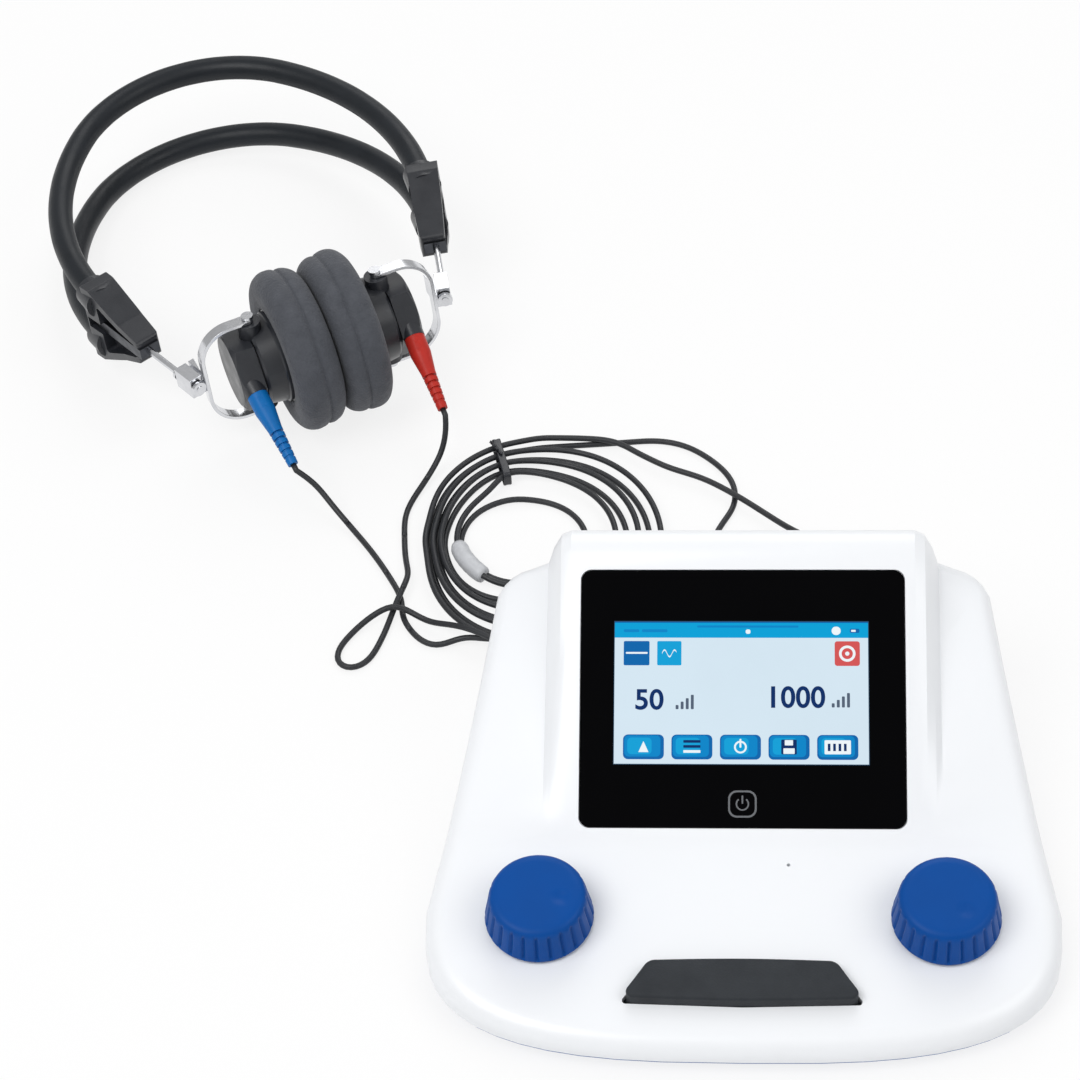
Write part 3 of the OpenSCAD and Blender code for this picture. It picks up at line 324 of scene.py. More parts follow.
FINISH_ROWS = {
    "shell": ("case_white", "shell", 0.95, (0.35, 9, 0.3, 0.05, 2600, 0.5, 0.05, 0.0001),
              {"coat": 0.12, "coat_rough": 0.18, "wave": 60}),
    "tray": ("case_blue", "tray", 0.8, (0.3, 25, 0.42, 0.1, 1800), {}),
    "glass": ("black_glass", (3, 3, 4), (7, 7, 9),
              (0.3, 14, 0.05, 0.03, 900, 0.2, 0.01, 0.00005), {"ior": 1.12}),
    "knob": ("knob_blue", "knob", 0.82, (0.35, 60, 0.38, 0.1, 2300, 0.7, 0.14, 0.00015),
             {"ior": 1.24}),
    "bar": ("soft_charcoal", "bar", 0.7, (0.5, 90, 0.55, 0.16, 1500, 0.75, 0.5, 0.00025),
            {"sheen": 0.04, "ior": 1.38}),
    "dark": ("dark_plastic", (46, 48, 53), (34, 36, 40), (0.5, 60, 0.48, 0.12, 1700), {}),
    "housing": ("black_plastic", "housing", 1.5, (0.3, 110, 0.3, 0.14, 1900, 0.6, 0.2),
                {"coat": 0.1, "coat_rough": 0.25}),
    "plated": ("metal", (190, 191, 194), (150, 151, 156),
               (0.5, 80, 0.28, 0.12, 1200, 0.3, 0.06), {"metallic": 1.0}),
    "steel": ("bright_steel", (222, 223, 226), (176, 178, 184),
              (0.4, 120, 0.13, 0.1, 2400, 0.25, 0.05, 0.0001), {"metallic": 1.0}),
    "guide": ("dark_steel", (84, 86, 91), (58, 60, 64),
              (0.5, 140, 0.3, 0.14, 1500, 0.3, 0.06), {"metallic": 1.0}),
    "board": ("board_green", (20, 88, 58), (14, 66, 44), (0.6, 200, 0.4, 0.1, 900), {}),
    "rubber": ("rubber", (40, 41, 44), (30, 31, 33), (0.5, 80, 0.75, 0.12, 1400, 0.7, 0.4), {}),
    "band": ("band_cover", "band", 1.6, (0.4, 70, 0.36, 0.14, 1300, 0.55, 0.3, 0.0003),
             {"wave": 200, "ior": 1.36}),
    "cushion": ("cushion_skin", "cushion", 0.7,
                (0.55, 160, 0.72, 0.14, 1050, 0.75, 0.75, 0.0005), {"sheen": 0.12, "wave": 260}),
    "blue_plug": ("plug_blue", "left_mark", 0.75, (0.4, 150, 0.38, 0.12), {"ior": 1.32}),
    "red_plug": ("plug_red", "right_mark", 0.75, (0.4, 150, 0.38, 0.12), {"ior": 1.32}),
    "sleeve": ("sleeve_grey", "sleeve", 0.7, (0.5, 300, 0.4, 0.15, 900, 0.5, 0.4, 0.0003), {}),
    "lead": ("cord_black", "lead", 1.6, (0.35, 130, 0.42, 0.16, 1600, 0.5, 0.25), {}),
    "mark": ("print_grey", (98, 101, 105), (82, 84, 88),
             (0.4, 200, 0.3, 0.1, 900, 0.2, 0.05), {}),
}
FINISHES = {}


def make_finishes():
    """Builds every material once."""
    if FINISHES:
        return
    for key, (name, hue, marks, values, others) in FINISH_ROWS.items():
        base = tint(hue) if isinstance(hue, str) else lit(*hue)
        spots = lit(*marks) if isinstance(marks, tuple) else shade(base, marks)
        FINISHES[key] = finish(name, base, spots, *values, **others)


# ---- mesh helpers

def turned(points):
    """Points through the headset's turn: about X, then Y, then Z."""
    ax, ay, az = (radians(a) for a in HEAD_TURN)
    turn = Matrix.Rotation(az, 3, "Z") @ Matrix.Rotation(ay, 3, "Y") @ Matrix.Rotation(ax, 3, "X")
    return [turn @ Vector(p) for p in points]


def in_head(points):
    return [HEAD_AT + p for p in turned(points)]


def on_glass(x, v, n=0.0):
    """Point on the glass: x across, v up from the glass's lower edge, n out of it."""
    a = radians(GLASS_SLOPE)
    z0 = PANEL_FRONT + PANEL_DEPTH * tan(radians(PANEL_SLOPE))
    v += GLASS_EDGE
    return BASE_AT + Vector((x, PANEL_DEPTH + v * cos(a) - n * sin(a),
                             z0 + v * sin(a) + n * cos(a)))


def on_panel(x, y, n=0.0):
    """Point on the sloping panel, the way the solid model places it."""
    a = radians(PANEL_SLOPE)
    return BASE_AT + Vector((x, y - n * sin(a),
                             PANEL_FRONT + y * tan(a) + n * cos(a)))


def make_object(name, verts, faces, material, smooth=True, scale=MM):
    mesh = bpy.data.meshes.new(name)
    mesh.from_pydata([tuple(v * scale for v in p) for p in verts], [], faces)
    mesh.validate()
    mesh.update()
    obj = bpy.data.objects.new(name, mesh)
    bpy.context.collection.objects.link(obj)
    for m in material if isinstance(material, list) else [material]:
        obj.data.materials.append(m)
    for poly in mesh.polygons:
        poly.use_smooth = smooth
    return obj


def catmull(points, step):
    """Smooth line through the points, with about one point per step."""
    p = [Vector(q) for q in points]
    p = [p[0] * 2 - p[1]] + p + [p[-1] * 2 - p[-2]]
    out = []
    for i in range(1, len(p) - 2):
        n = max(1, round((p[i + 1] - p[i]).length / step))
        for k in range(n):
            t = k / n
            out.append(0.5 * ((2 * p[i]) + (p[i + 1] - p[i - 1]) * t
                              + (2 * p[i - 1] - 5 * p[i] + 4 * p[i + 1] - p[i + 2]) * t * t
                              + (3 * p[i] - p[i - 1] - 3 * p[i + 1] + p[i + 2]) * t ** 3))
    return out + [p[-2]]


def settle(points, low):
    """Eases tight turns of a line in six passes, keeps its ends and holds it over the table."""
    for _ in range(6):
        soft = [(points[i - 1] + points[i] * 2 + points[i + 1]) / 4
                for i in range(1, len(points) - 1)]
        points = [points[0], points[1]] + soft[1:-1] + [points[-2], points[-1]]
    for p in points:
        p.z = max(p.z, low)
    return points


def quads(rows, ring, around=False):
    """Faces between rows of points that each close in a ring; around joins last row to first."""
    return [(i * ring + k, i * ring + (k + 1) % ring,
             (i + 1) % rows * ring + (k + 1) % ring, (i + 1) % rows * ring + k)
            for i in range(rows if around else rows - 1) for k in range(ring)]


def sweep(points, radii, sides):
    """Vertices and faces of a round tube along points, with parallel frames and closed ends."""
    pts = [Vector(p) for p in points]
    count = len(pts)
    verts = []
    normal = None
    for i, p in enumerate(pts):
        way = (pts[min(i + 1, count - 1)] - pts[max(i - 1, 0)]).normalized()
        if normal is None:
            normal = way.cross(Vector((0.013, 0.02, 1))).normalized()
        normal = (normal - way * normal.dot(way)).normalized()
        other = way.cross(normal)
        r = radii[i] if isinstance(radii, list) else radii
        for k in range(sides):
            t = 2 * pi * k / sides
            verts.append(p + normal * (r * cos(t)) + other * (r * sin(t)))
    ends = [tuple(range(sides))[::-1], tuple(range((count - 1) * sides, count * sides))]
    return verts, quads(count, sides) + ends


def circle(x, y, r, step):
    """Points of a circle, one for every step in degrees."""
    return [(x + r * cos(a), y + r * sin(a)) for a in map(radians, range(0, 360, step))]


def rounded_rect(x0, y0, x1, y1, r, steps=6):
    out = []
    for cx, cy, a0 in ((x1 - r, y0 + r, -90), (x1 - r, y1 - r, 0), (x0 + r, y1 - r, 90),
                       (x0 + r, y0 + r, 180)):
        for i in range(steps + 1):
            a = radians(a0 + 90 * i / steps)
            out.append((cx + r * cos(a), cy + r * sin(a)))
    return out


def crooked(count, size, seed, scale):
    """A small wander for a drawn line, the same on every run."""
    return [noise.noise(Vector((i * scale, seed, 0))) * size for i in range(count)]


def piece(obj, body):
    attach(obj, body)


# ---- leads

def smooth_step(t):
    u = max(0.0, min(1.0, t))
    return u * u * (3 - 2 * u)


def bump_at(a, middle, width):
    return exp(-((a - middle) / width) ** 2)


def coil_point(k, lane):
    """Point of the wound leads: k counts turns from inside, lane is 0 below and 0.5 above."""
    lead = sizes().lead_d / MM
    a = (270 - 360 * k) % 360
    inner = 28 + 2.2 * cos(radians(a - 160))
    outer = 55.8 + 9 * cos(radians(a)) + 1.8 * sin(radians(a)) - 5.5 * cos(radians(2 * a))
    turns = 3.7 + 0.35 * cos(radians(a - 110))
    step = max(3.2, (outer - inner) / turns)
    if lane == 0:
        draw = (3.5 + 4 * smooth_step((k - 0.35) / 0.15)) * smooth_step((1.15 - k) / 0.35)
    else:
        draw = 3.5 * smooth_step((0.55 - k) / 0.2)
    r = inner + step * (k + lane) - draw
    if r >= 34:
        r = 50 + (r - 50) * (1 - 0.3 * bump_at(a, TIE_AT, 26))
    z = lead / 2 + 0.05 + (lead + 0.2 if lane > 0 else 0) + 1.4 * bump_at(a, TIE_AT, 16)
    z += 2.4 * bump_at(a, 212, 28) if k < 0.5 else 0
    return round_coil([(r, a, z)])[0]


def round_coil(rows):
    """Points round the coil by radius, angle and height."""
    return [COIL_AT + Vector((r * cos(radians(a)), r * sin(radians(a)), z))
            for r, a, z in rows]


# Routes of the leads: x, y and height; points without a height lie on the table
LEFT_ROUTE = [(-83, 22, 13), (-75.5, 15, 7), (-67, 6, 2.5), (-57, -8), (-48, -24), (-43, -35),
              (-42, -45), (-38, -53), (-33, -59), (-27, -62), (-21, -60, 2.3), (-15, -59, 4)]
LEFT_OVER = [(62, 262, 7), (59, 277, 8), (54, 291, 8), (45, 303, 8), (35, 307, 8), (28, 301, 6.2),
             (26.5, 288, 3.2)]
RIGHT_ROUTE = [(-29.2, 50.5, 17.5), (-31, 46, 9.5), (-36, 38.5, 3.2), (-44.5, 18), (-44.5, 2),
               (-43, -12), (-41, -22, 3.1), (-42, -30, 4.7), (-45, -40, 3.3), (-48, -52),
               (-51, -63), (-54.5, -71), (-60.5, -74.8), (-66.2, -71.5), (-66.4, -63),
               (-58, -50, 2.3), (-50, -45, 5.3), (-44, -43, 6.1), (-36, -46, 2.9), (-30, -50, 2.9),
               (-22, -54, 6), (-12, -60, 9)]
RIGHT_OVER = [(66, 266, 9.4), (66, 281, 9), (63, 296, 8.4), (55, 309, 8), (44, 315, 8),
              (34, 314, 9.6), (30, 304, 10.4), (30.5, 290, 6.4)]
LEFT_BACK = [(41.5, 59), (59.5, 60.5), (71, 57.5), (80, 51), (88, 42), (92.5, 32), (92.5, 20),
             (86, 6), (84, -5, 3), (89, -13, 8), (98, -16, 13), (104.5, -20, 16.5),
             (106.5, -27, 18)]
RIGHT_BACK = [(39, 58, 4), (52, 49.5, 4), (64.5, 41, 4), (79.5, 34, 4), (94.5, 22.5, 4.2),
              (114.5, 4, 4.5), (125, -8, 9), (128.5, -19, 15)]

# By side: its sign, its lane in the coil, the routes of its lead (the middle one runs round the
# coil by radius, angle and height) and the place of its jack
LEADS = {"left": (-1, 0, LEFT_ROUTE, LEFT_OVER, LEFT_BACK, 10),
         "right": (1, 0.5, RIGHT_ROUTE, RIGHT_OVER, RIGHT_BACK, 32)}


def lead_path(side):
    """Whole centreline of one lead, from its earphone plug to its jack, in millimetres."""
    s, lane, out, over, back, jack_x = LEADS[side]
    end = PLUG_FROM + PLUG_DIR * (BOSS + PLUG)
    tip = in_head([(s * end.x + ARM_SHIFT, end.y, end.z)])[0]
    way = turned([(s * PLUG_DIR.x, PLUG_DIR.y, PLUG_DIR.z)])[0]
    rings = [coil_point(i / 24, lane) for i in range(int(COIL_TURNS * 24) + 1)]
    into = (rings[1] - rings[0]).normalized()
    away = (rings[-1] - rings[-2]).normalized()
    jack = BASE_AT + Vector((jack_x, BASE_D + JACK_OUT, JACK_UP))
    out, back = ([Vector((*p, LEAD_FLAT)[:3]) for p in line] for line in (out, back))
    route = [tip, tip + way * 3, *out, *round_coil(over), rings[0] - into * 3, *rings,
             rings[-1] + away * 3, *back, jack + Vector((0, 3, 0)), jack]
    return settle(catmull(route, LEAD_STEP), LEAD_LOW)


class AUDIOMETER_OT_leads(bpy.types.Operator):
    """Make both headset leads, the shrink sleeve and the twist tie"""

    bl_idname = "audiometer.leads"
    bl_label = "Leads"

    def execute(self, context):
        make_finishes()
        lead = sizes().lead_d / MM
        wrapped = self.sleeve(), self.tie(lead)
        for side in LEADS:
            path = lead_path(side)
            for part, bodies in LEAD_FOLLOWS:
                near, path = self.cut(path, LEAD_STRETCH)
                obj = self.tube(side + part, near, lead)
                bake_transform(obj)
            obj = self.tube(side + "_cable", path, lead)
            piece(obj, ROOT)
            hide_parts(side + "_lead", side + "_coil", side + "_tail")
        return {"FINISHED"}

    def cut(self, path, reach):
        """Divides a centreline at the first point past the given length."""
        gone = 0.0
        for i in range(1, len(path)):
            gone += (path[i] - path[i - 1]).length
            if gone >= reach:
                return path[:i + 1], path[i:]
        raise RuntimeError("the lead is too short to divide")

    def length(self, path):
        return sum((path[i + 1] - path[i]).length for i in range(len(path) - 1)) * MM

    def tube(self, name, path, lead):
        verts, faces = sweep(path, lead / 2, 12)
        return make_object(name, verts, faces, FINISHES["lead"])

    def sleeve(self):
        """Shrunk sleeve over both leads, rounded off at its ends."""
        turns = [SLEEVE_FROM + SLEEVE_TURN * i / 20 for i in range(21)]
        line = [(coil_point(k, 0) + coil_point(k, 0.5)) / 2 for k in turns]
        radii = [SLEEVE_R - 0.5 * max(0, 1 - min(i, 20 - i) / 1.5) + 0.06 * sin(i * 1.9)
                 for i in range(21)]
        verts, faces = sweep(line, radii, 24)
        obj = make_object("shrink_sleeve", verts, faces, FINISHES["sleeve"])
        piece(obj, ROOT)
        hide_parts("label_sleeve")
        return obj

    def tie(self, lead):
        """Flat wire tie round the turns, with its two ends twisted together on top."""
        a = radians(TIE_AT)
        out = Vector((cos(a), sin(a), 0))
        along = Vector((-sin(a), cos(a), 0))
        high = lead / 2 + 0.05 + 1.4 + lead + 0.2 + lead / 2 + 0.4
        loop = rounded_rect(36.6, 0.75, 59.4, high + 0.45, 1.6, 5)
        middle = Vector((48, (high + 1.2) / 2))
        band = ((-1.7, 0.4), (-1.2, 0.62), (0, 0.4), (1.2, 0.62), (1.7, 0.4), (1.2, -0.2),
                (-1.2, -0.2))
        verts = []
        for x, z in loop:
            d = (Vector((x, z)) - middle).normalized()
            verts += [COIL_AT + out * (x + d.x * t) + along * w + Vector((0, 0, z + d.y * t))
                      for w, t in band]
        faces = quads(len(loop), len(band), around=True)
        for e in (0, 1):
            line = []
            for t in (i / 25 for i in range(26)):
                turn = 5.5 * t * 2 * pi + pi * e
                r = 0.55 * (1 - 0.2 * t)
                line.append(COIL_AT + out * (49 + 9 * t + r * cos(turn))
                            + along * (2.6 * t + r * sin(turn))
                            + Vector((0, 0, high + 1.2 - 0.9 * t * t)))
            v, f = sweep(line, 0.5, 8)
            faces += [tuple(len(verts) + i for i in q) for q in f]
            verts += v
        obj = make_object("wire_tie", verts, faces, FINISHES["housing"])
        piece(obj, ROOT)
        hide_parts("twist_tie")
        return obj


# ---- headset

class AUDIOMETER_OT_headbands(bpy.types.Operator):
    """Make the two smooth covered headbands"""

    bl_idname = "audiometer.headbands"
    bl_label = "Headbands"

    def execute(self, context):
        make_finishes()
        r = sizes().band_d / MM / 2
        half, end = radians(CROWN_HALF), radians(BAND_END)
        side_x = CROWN_R * sin(half) - SIDE_R * sin(half)
        side_y = -SIDE_R * cos(end)
        crown_y = side_y + (SIDE_R - CROWN_R) * cos(half)
        end_x = side_x + SIDE_R * sin(end)
        line = [(CROWN_R * sin(a), crown_y + CROWN_R * cos(a))
                for a in (half * i / 30 for i in range(31))]
        line += [(side_x + SIDE_R * sin(a), side_y + SIDE_R * cos(a))
                 for a in (half + (end - half) * i / 30 for i in range(1, 31))]
        a = radians(BAND_END - 90)
        line += [(end_x - t * sin(a), -t * cos(a)) for t in (4, 9, SOCKET_IN)]
        flat = [(-x, y) for x, y in line[:0:-1]] + line
        for name, s in (("upper", 1), ("lower", -1)):
            tilt = radians(s * BAND_SPLAY)
            pts = in_head([(x, y * cos(tilt), s * BAND_GAP / 2 + y * sin(tilt))
                           for x, y in flat])
            radii = [r - 0.05 + w for w in crooked(len(pts), 0.05, s * 7.3, 0.35)]
            verts, faces = sweep(pts, radii, 40)
            obj = make_object(name + "_band_cover", verts, faces, FINISHES["band"])
            piece(obj, ROOT)
            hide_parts(name + "_band")
        return {"FINISHED"}


def cushion_profile(d, t):
    """Half section of an ear cushion: distance along the ear axis and radius, face first."""
    roll = d / 2
    flange = PHONE_R + 1.3
    rows = [(FACE_GAP + 4, CUSHION_BORE), (FACE_GAP + 1.2, 12), (FACE_GAP + 0.2, 16),
            (FACE_GAP, 20)]
    rows += [(FACE_GAP + FRONT_ROLL * (1 - cos(a)), roll - 8.3 + FRONT_ROLL * sin(a))
             for a in (radians(7.5 * i) for i in range(12))]
    # The shallow crease between the two rolls
    rows += [(8.1, roll - 0.8), (8.5, roll - 1.0), (8.8, roll - 1.3), (9.1, roll - 1.4),
             (9.4, roll - 1.25), (9.8, roll - 0.85), (10.3, roll - 0.5), (11.1, roll - 0.22),
             (12.4, roll - 0.05)]
    rows += [(t - BACK_ROLL + BACK_ROLL * sin(a), roll - BACK_ROLL + BACK_ROLL * cos(a))
             for a in (radians(7.5 * i) for i in range(13))]
    rows += [(t, flange + 2.2), (t - 0.35, flange - 0.6), (t - 1.0, flange - 1.5),
             (20.1, flange - 1.4), (19.8, flange - 0.2), (17, flange), (CASE_START - 0.3, flange),
             (CASE_START - 0.3, CUSHION_BORE)]
    return rows


class AUDIOMETER_OT_cushions(bpy.types.Operator):
    """Make the two moulded ear cushions"""

    bl_idname = "audiometer.cushions"
    bl_label = "Ear cushions"

    def execute(self, context):
        make_finishes()
        rows = cushion_profile(sizes().cushion_d / MM, sizes().cushion_t / MM)
        steps = 160
        for side, s in (("left", -1), ("right", 1)):
            verts = []
            for i in range(steps):
                a = 2 * pi * i / steps
                for along, r in rows:
                    if r > 24:
                        r += (0.3 * noise.noise(Vector((3 * cos(a), 3 * sin(a),
                                                        along * 0.15 + s * 9)))
                              + 0.1 * noise.noise(Vector((11 * cos(a), 11 * sin(a),
                                                          along * 0.5))) - 0.35)
                    verts.append(Vector((s * along + ARM_SHIFT, -EAR_DROP + r * cos(a),
                                         r * sin(a))))
            faces = quads(steps, len(rows), around=True)
            if s < 0:
                faces = [q[::-1] for q in faces]
            obj = make_object(side + "_ear_cushion", in_head(verts), faces, FINISHES["cushion"])
            piece(obj, side + "_earphone_body")
            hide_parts(side + "_cushion")
        return {"FINISHED"}


# ---- base unit

def filleted(corners, radii, steps):
    """Outline through rounded corners, with points all along its straight edges."""
    pts = []
    count = len(corners)
    for i in range(count):
        c = Vector(corners[i])
        before = (Vector(corners[i - 1]) - c).normalized()
        after = (Vector(corners[(i + 1) % count]) - c).normalized()
        half = acos(max(-1, min(1, before.dot(after)))) / 2
        reach = radii[i] / tan(half)
        a, b = c + before * reach, c + after * reach
        middle = c + (before + after).normalized() * (radii[i] / sin(half))
        start = atan2(a.y - middle.y, a.x - middle.x)
        swing = atan2(b.y - middle.y, b.x - middle.x) - start
        swing = (swing + pi) % (2 * pi) - pi
        arc = [middle + Vector((cos(t), sin(t))) * radii[i]
               for t in (start + swing * k / steps for k in range(steps + 1))]
        if pts:
            pts += [pts[-1].lerp(arc[0], k / 16) for k in range(1, 16)]
        pts += arc
    return pts + [pts[-1].lerp(pts[0], k / 16) for k in range(1, 16)]


def key_outline(w, grow):
    """Bar key seen from above: bowed front and back, with its back corners well rounded."""
    hw, hd, hb = w / 2, KEY_D / 2, KEY_BACK * w / 2
    outline = filleted([(-hw, -hd), (hw, -hd), (hb, hd), (-hb, hd)], [2.6, 2.6, 4.6, 4.6], 8)
    count = len(outline)
    pts = [Vector((p.x, p.y + KEY_BOW * (1 - abs(p.x / hw) ** 1.7) * p.y / hd)) for p in outline]
    out = []
    for i, p in enumerate(pts):
        way = pts[(i + 1) % count] - pts[i - 1]
        out.append(p + Vector((way.y, -way.x)).normalized() * grow)
    return out


class AUDIOMETER_OT_bar_key(bpy.types.Operator):
    """Make the soft bar key with its rounded edge"""

    bl_idname = "audiometer.bar_key"
    bl_label = "Bar key"

    def execute(self, context):
        make_finishes()
        w, h = sizes().key_w / MM, sizes().key_h / MM
        # Height over the panel and growth of the outline, from the foot inside the case up
        levels = [(-3.9, 1.4), (-3.0, 1.4), (-2.9, -0.05), (0, -0.05), (h - 1.1, -0.1),
                  (h - 0.7, -0.18), (h - 0.35, -0.42), (h - 0.1, -0.8), (h, -1.2)]
        verts = [on_panel(x, KEY_Y + y, z) for z, grow in levels for x, y in key_outline(w, grow)]
        n = len(verts) // len(levels)
        faces = quads(len(levels), n)
        faces.append(tuple(range(len(verts) - n, len(verts))))
        faces.append(tuple(range(n))[::-1])
        obj = make_object("bar_key_cap", verts, faces, FINISHES["bar"])
        piece(obj, "bar_key_body")
        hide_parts("bar_key")
        return {"FINISHED"}


def knob_point(s, r, z, a):
    """Point of a knob on the panel: radius, height over the panel's gap and angle."""
    slope = radians(PANEL_SLOPE)
    return on_panel(s * KNOB_PITCH / 2 + r * cos(a),
                    KNOB_Y + r * sin(a) * cos(slope), KNOB_LIFT + z)


class AUDIOMETER_OT_knobs(bpy.types.Operator):
    """Make the two dial knobs with their grip slits and finger dimple"""

    bl_idname = "audiometer.knobs"
    bl_label = "Dial knobs"

    def execute(self, context):
        make_finishes()
        r0 = sizes().knob_d / MM / 2
        flat = r0 - 5.6
        # Bore, underside, rounded foot, leaning side and rounded rim: radius and height
        rows = [(3.15, KNOB_H - 4), (3.15, 5.4), (6.1, 5.4), (6.1, 0)]
        rows += [(r0 - inset, z) for inset, z in (
            (0.8, 0), (0.25, 0.35), (0, 0.9), (0.1, 1.6), (0.35, 3), (0.9, 6), (1.4, 9), (1.7, 11),
            (1.9, 12.2), (2.1, 13.1), (2.5, 14), (3.2, 14.8), (4.2, 15.3))]
        rows += [(flat - 0.7 * k, KNOB_H) for k in range(20)]
        n, steps = len(rows), SLIT_STEPS * GRIP_SLITS
        slit = {0: 1.0, 1: 0.8, 11: 0.8, 2: 0.15, 10: 0.15}
        for side, s, turn in (("left", -1, -10), ("right", 1, -43)):
            turn = radians(turn)
            press = Vector((cos(turn), sin(turn))) * DIMPLE_FROM_AXIS
            verts, faces = [], []
            for i in range(steps):
                a = 2 * pi * i / steps
                for r, z in rows:
                    if r > r0 - 2.6 and z > 0.3:
                        r -= (slit.get(i % SLIT_STEPS, 0) * smooth_step((z - 0.7) / 0.9)
                              * smooth_step((13.6 - z) / 1.4))
                    if z > 15.2:
                        off = (Vector((r * cos(a), r * sin(a))) - press).length / DIMPLE_R
                        z -= DIMPLE_DEPTH * max(0.0, 1 - off * off) ** 2
                    verts.append(knob_point(s, r, z, a))
                j = (i + 1) % steps
                faces += [(i * n + k, j * n + k, j * n + k + 1, i * n + k + 1)
                          for k in range(n - 1)]
            faces.append(tuple(i * n + n - 1 for i in range(steps)))
            faces.append(tuple(i * n for i in range(steps))[::-1])
            obj = make_object(side + "_dial_knob", verts, faces, FINISHES["knob"])
            soften(obj, 40)
            piece(obj, side + "_knob_body")
            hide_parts(side + "_knob")
        return {"FINISHED"}


class ScreenSheet:
    """Collects flat shapes on the glass, each with its own lit colour."""

    def __init__(self):
        self.verts, self.faces, self.kinds, self.materials = [], [], [], []

    def kind(self, material):
        if material not in self.materials:
            self.materials.append(material)
        return self.materials.index(material)

    def add(self, points, level, faces, material):
        """Adds points at a level over the glass, and faces that count from the first of them."""
        base = len(self.verts)
        self.verts += [on_glass(x, v, level) for x, v in points]
        self.faces += [tuple(base + i for i in face) for face in faces]
        self.kinds += [self.kind(material)] * len(faces)

    def shape(self, points, level, material):
        self.add(points, level, [range(len(points))], material)

    def box(self, x0, v0, x1, v1, level, material, r=0.0):
        corners = [(x0, v0), (x1, v0), (x1, v1), (x0, v1)]
        self.shape(rounded_rect(x0, v0, x1, v1, r) if r else corners, level, material)

    def ring(self, outer, inner, level, material):
        self.add(outer + inner, level, quads(2, len(outer)), material)

    def words(self, text, x0, v0, width, height, level, material, weight=0.0):
        """Plain figures, drawn with the built-in font and fitted to a width and height."""
        curve = bpy.data.curves.new("figures", "FONT")
        curve.body = text
        curve.offset = weight
        curve.resolution_u = 6
        obj = bpy.data.objects.new("figures", curve)
        bpy.context.collection.objects.link(obj)
        graph = bpy.context.evaluated_depsgraph_get()
        mesh = bpy.data.meshes.new_from_object(obj.evaluated_get(graph))
        xs = [v.co.x for v in mesh.vertices]
        ys = [v.co.y for v in mesh.vertices]
        kx = width / (max(xs) - min(xs))
        ky = height / (max(ys) - min(ys))
        points = [(x0 + (x - min(xs)) * kx, v0 + (y - min(ys)) * ky) for x, y in zip(xs, ys)]
        self.add(points, level, [tuple(poly.vertices) for poly in mesh.polygons], material)
        bpy.data.objects.remove(obj)
        bpy.data.curves.remove(curve)
        bpy.data.meshes.remove(mesh)

    def build(self, name):
        obj = make_object(name, self.verts, self.faces, self.materials, smooth=False)
        for poly, k in zip(obj.data.polygons, self.kinds):
            poly.material_index = k
        return obj


# Lit colours of the screen: screen values and strength
LIGHTS = {
    "rim": (60, 96, 128, 0.5), "pale": (219, 237, 249, 0.86), "head": (6, 170, 228, 0.8),
    "deep": (14, 108, 182, 0.8), "bright": (20, 170, 228, 0.8), "mid": (10, 142, 212, 0.8),
    "ink": (14, 50, 108, 0.8), "white": (240, 248, 252, 0.9), "grey": (90, 104, 124, 0.8),
    "red": (224, 92, 92, 0.8)}

# Boxes of the picture, from its upper left corner: left, bottom, right, top, level, light, radius
PICTURE_BOXES = (
    (3.4, 4.0, 9.2, 2.9, 0.08, "mid", 0.4), (10.2, 4.0, 19.8, 2.9, 0.08, "mid", 0.4),
    (31, 2.2, 69, 1.4, 0.08, "mid", 0.3), (49.2, 4.6, 51, 2.9, 0.08, "white", 0.7),
    (81.4, 5.0, 84.8, 1.8, 0.08, "white", 1.55), (88.2, 4.2, 91.8, 2.6, 0.08, "deep", 0.5),
    (88.7, 3.8, 90.4, 3.0, 0.09, "white", 0.2), (3.4, 16.7, 13.1, 7.4, 0.06, "deep", 0.5),
    (4.2, 12.3, 12.4, 11.6, 0.08, "white", 0.3), (16, 16.7, 25.1, 7.4, 0.06, "bright", 0.5),
    (82.5, 16.8, 91.9, 7.4, 0.06, "red", 1.0))


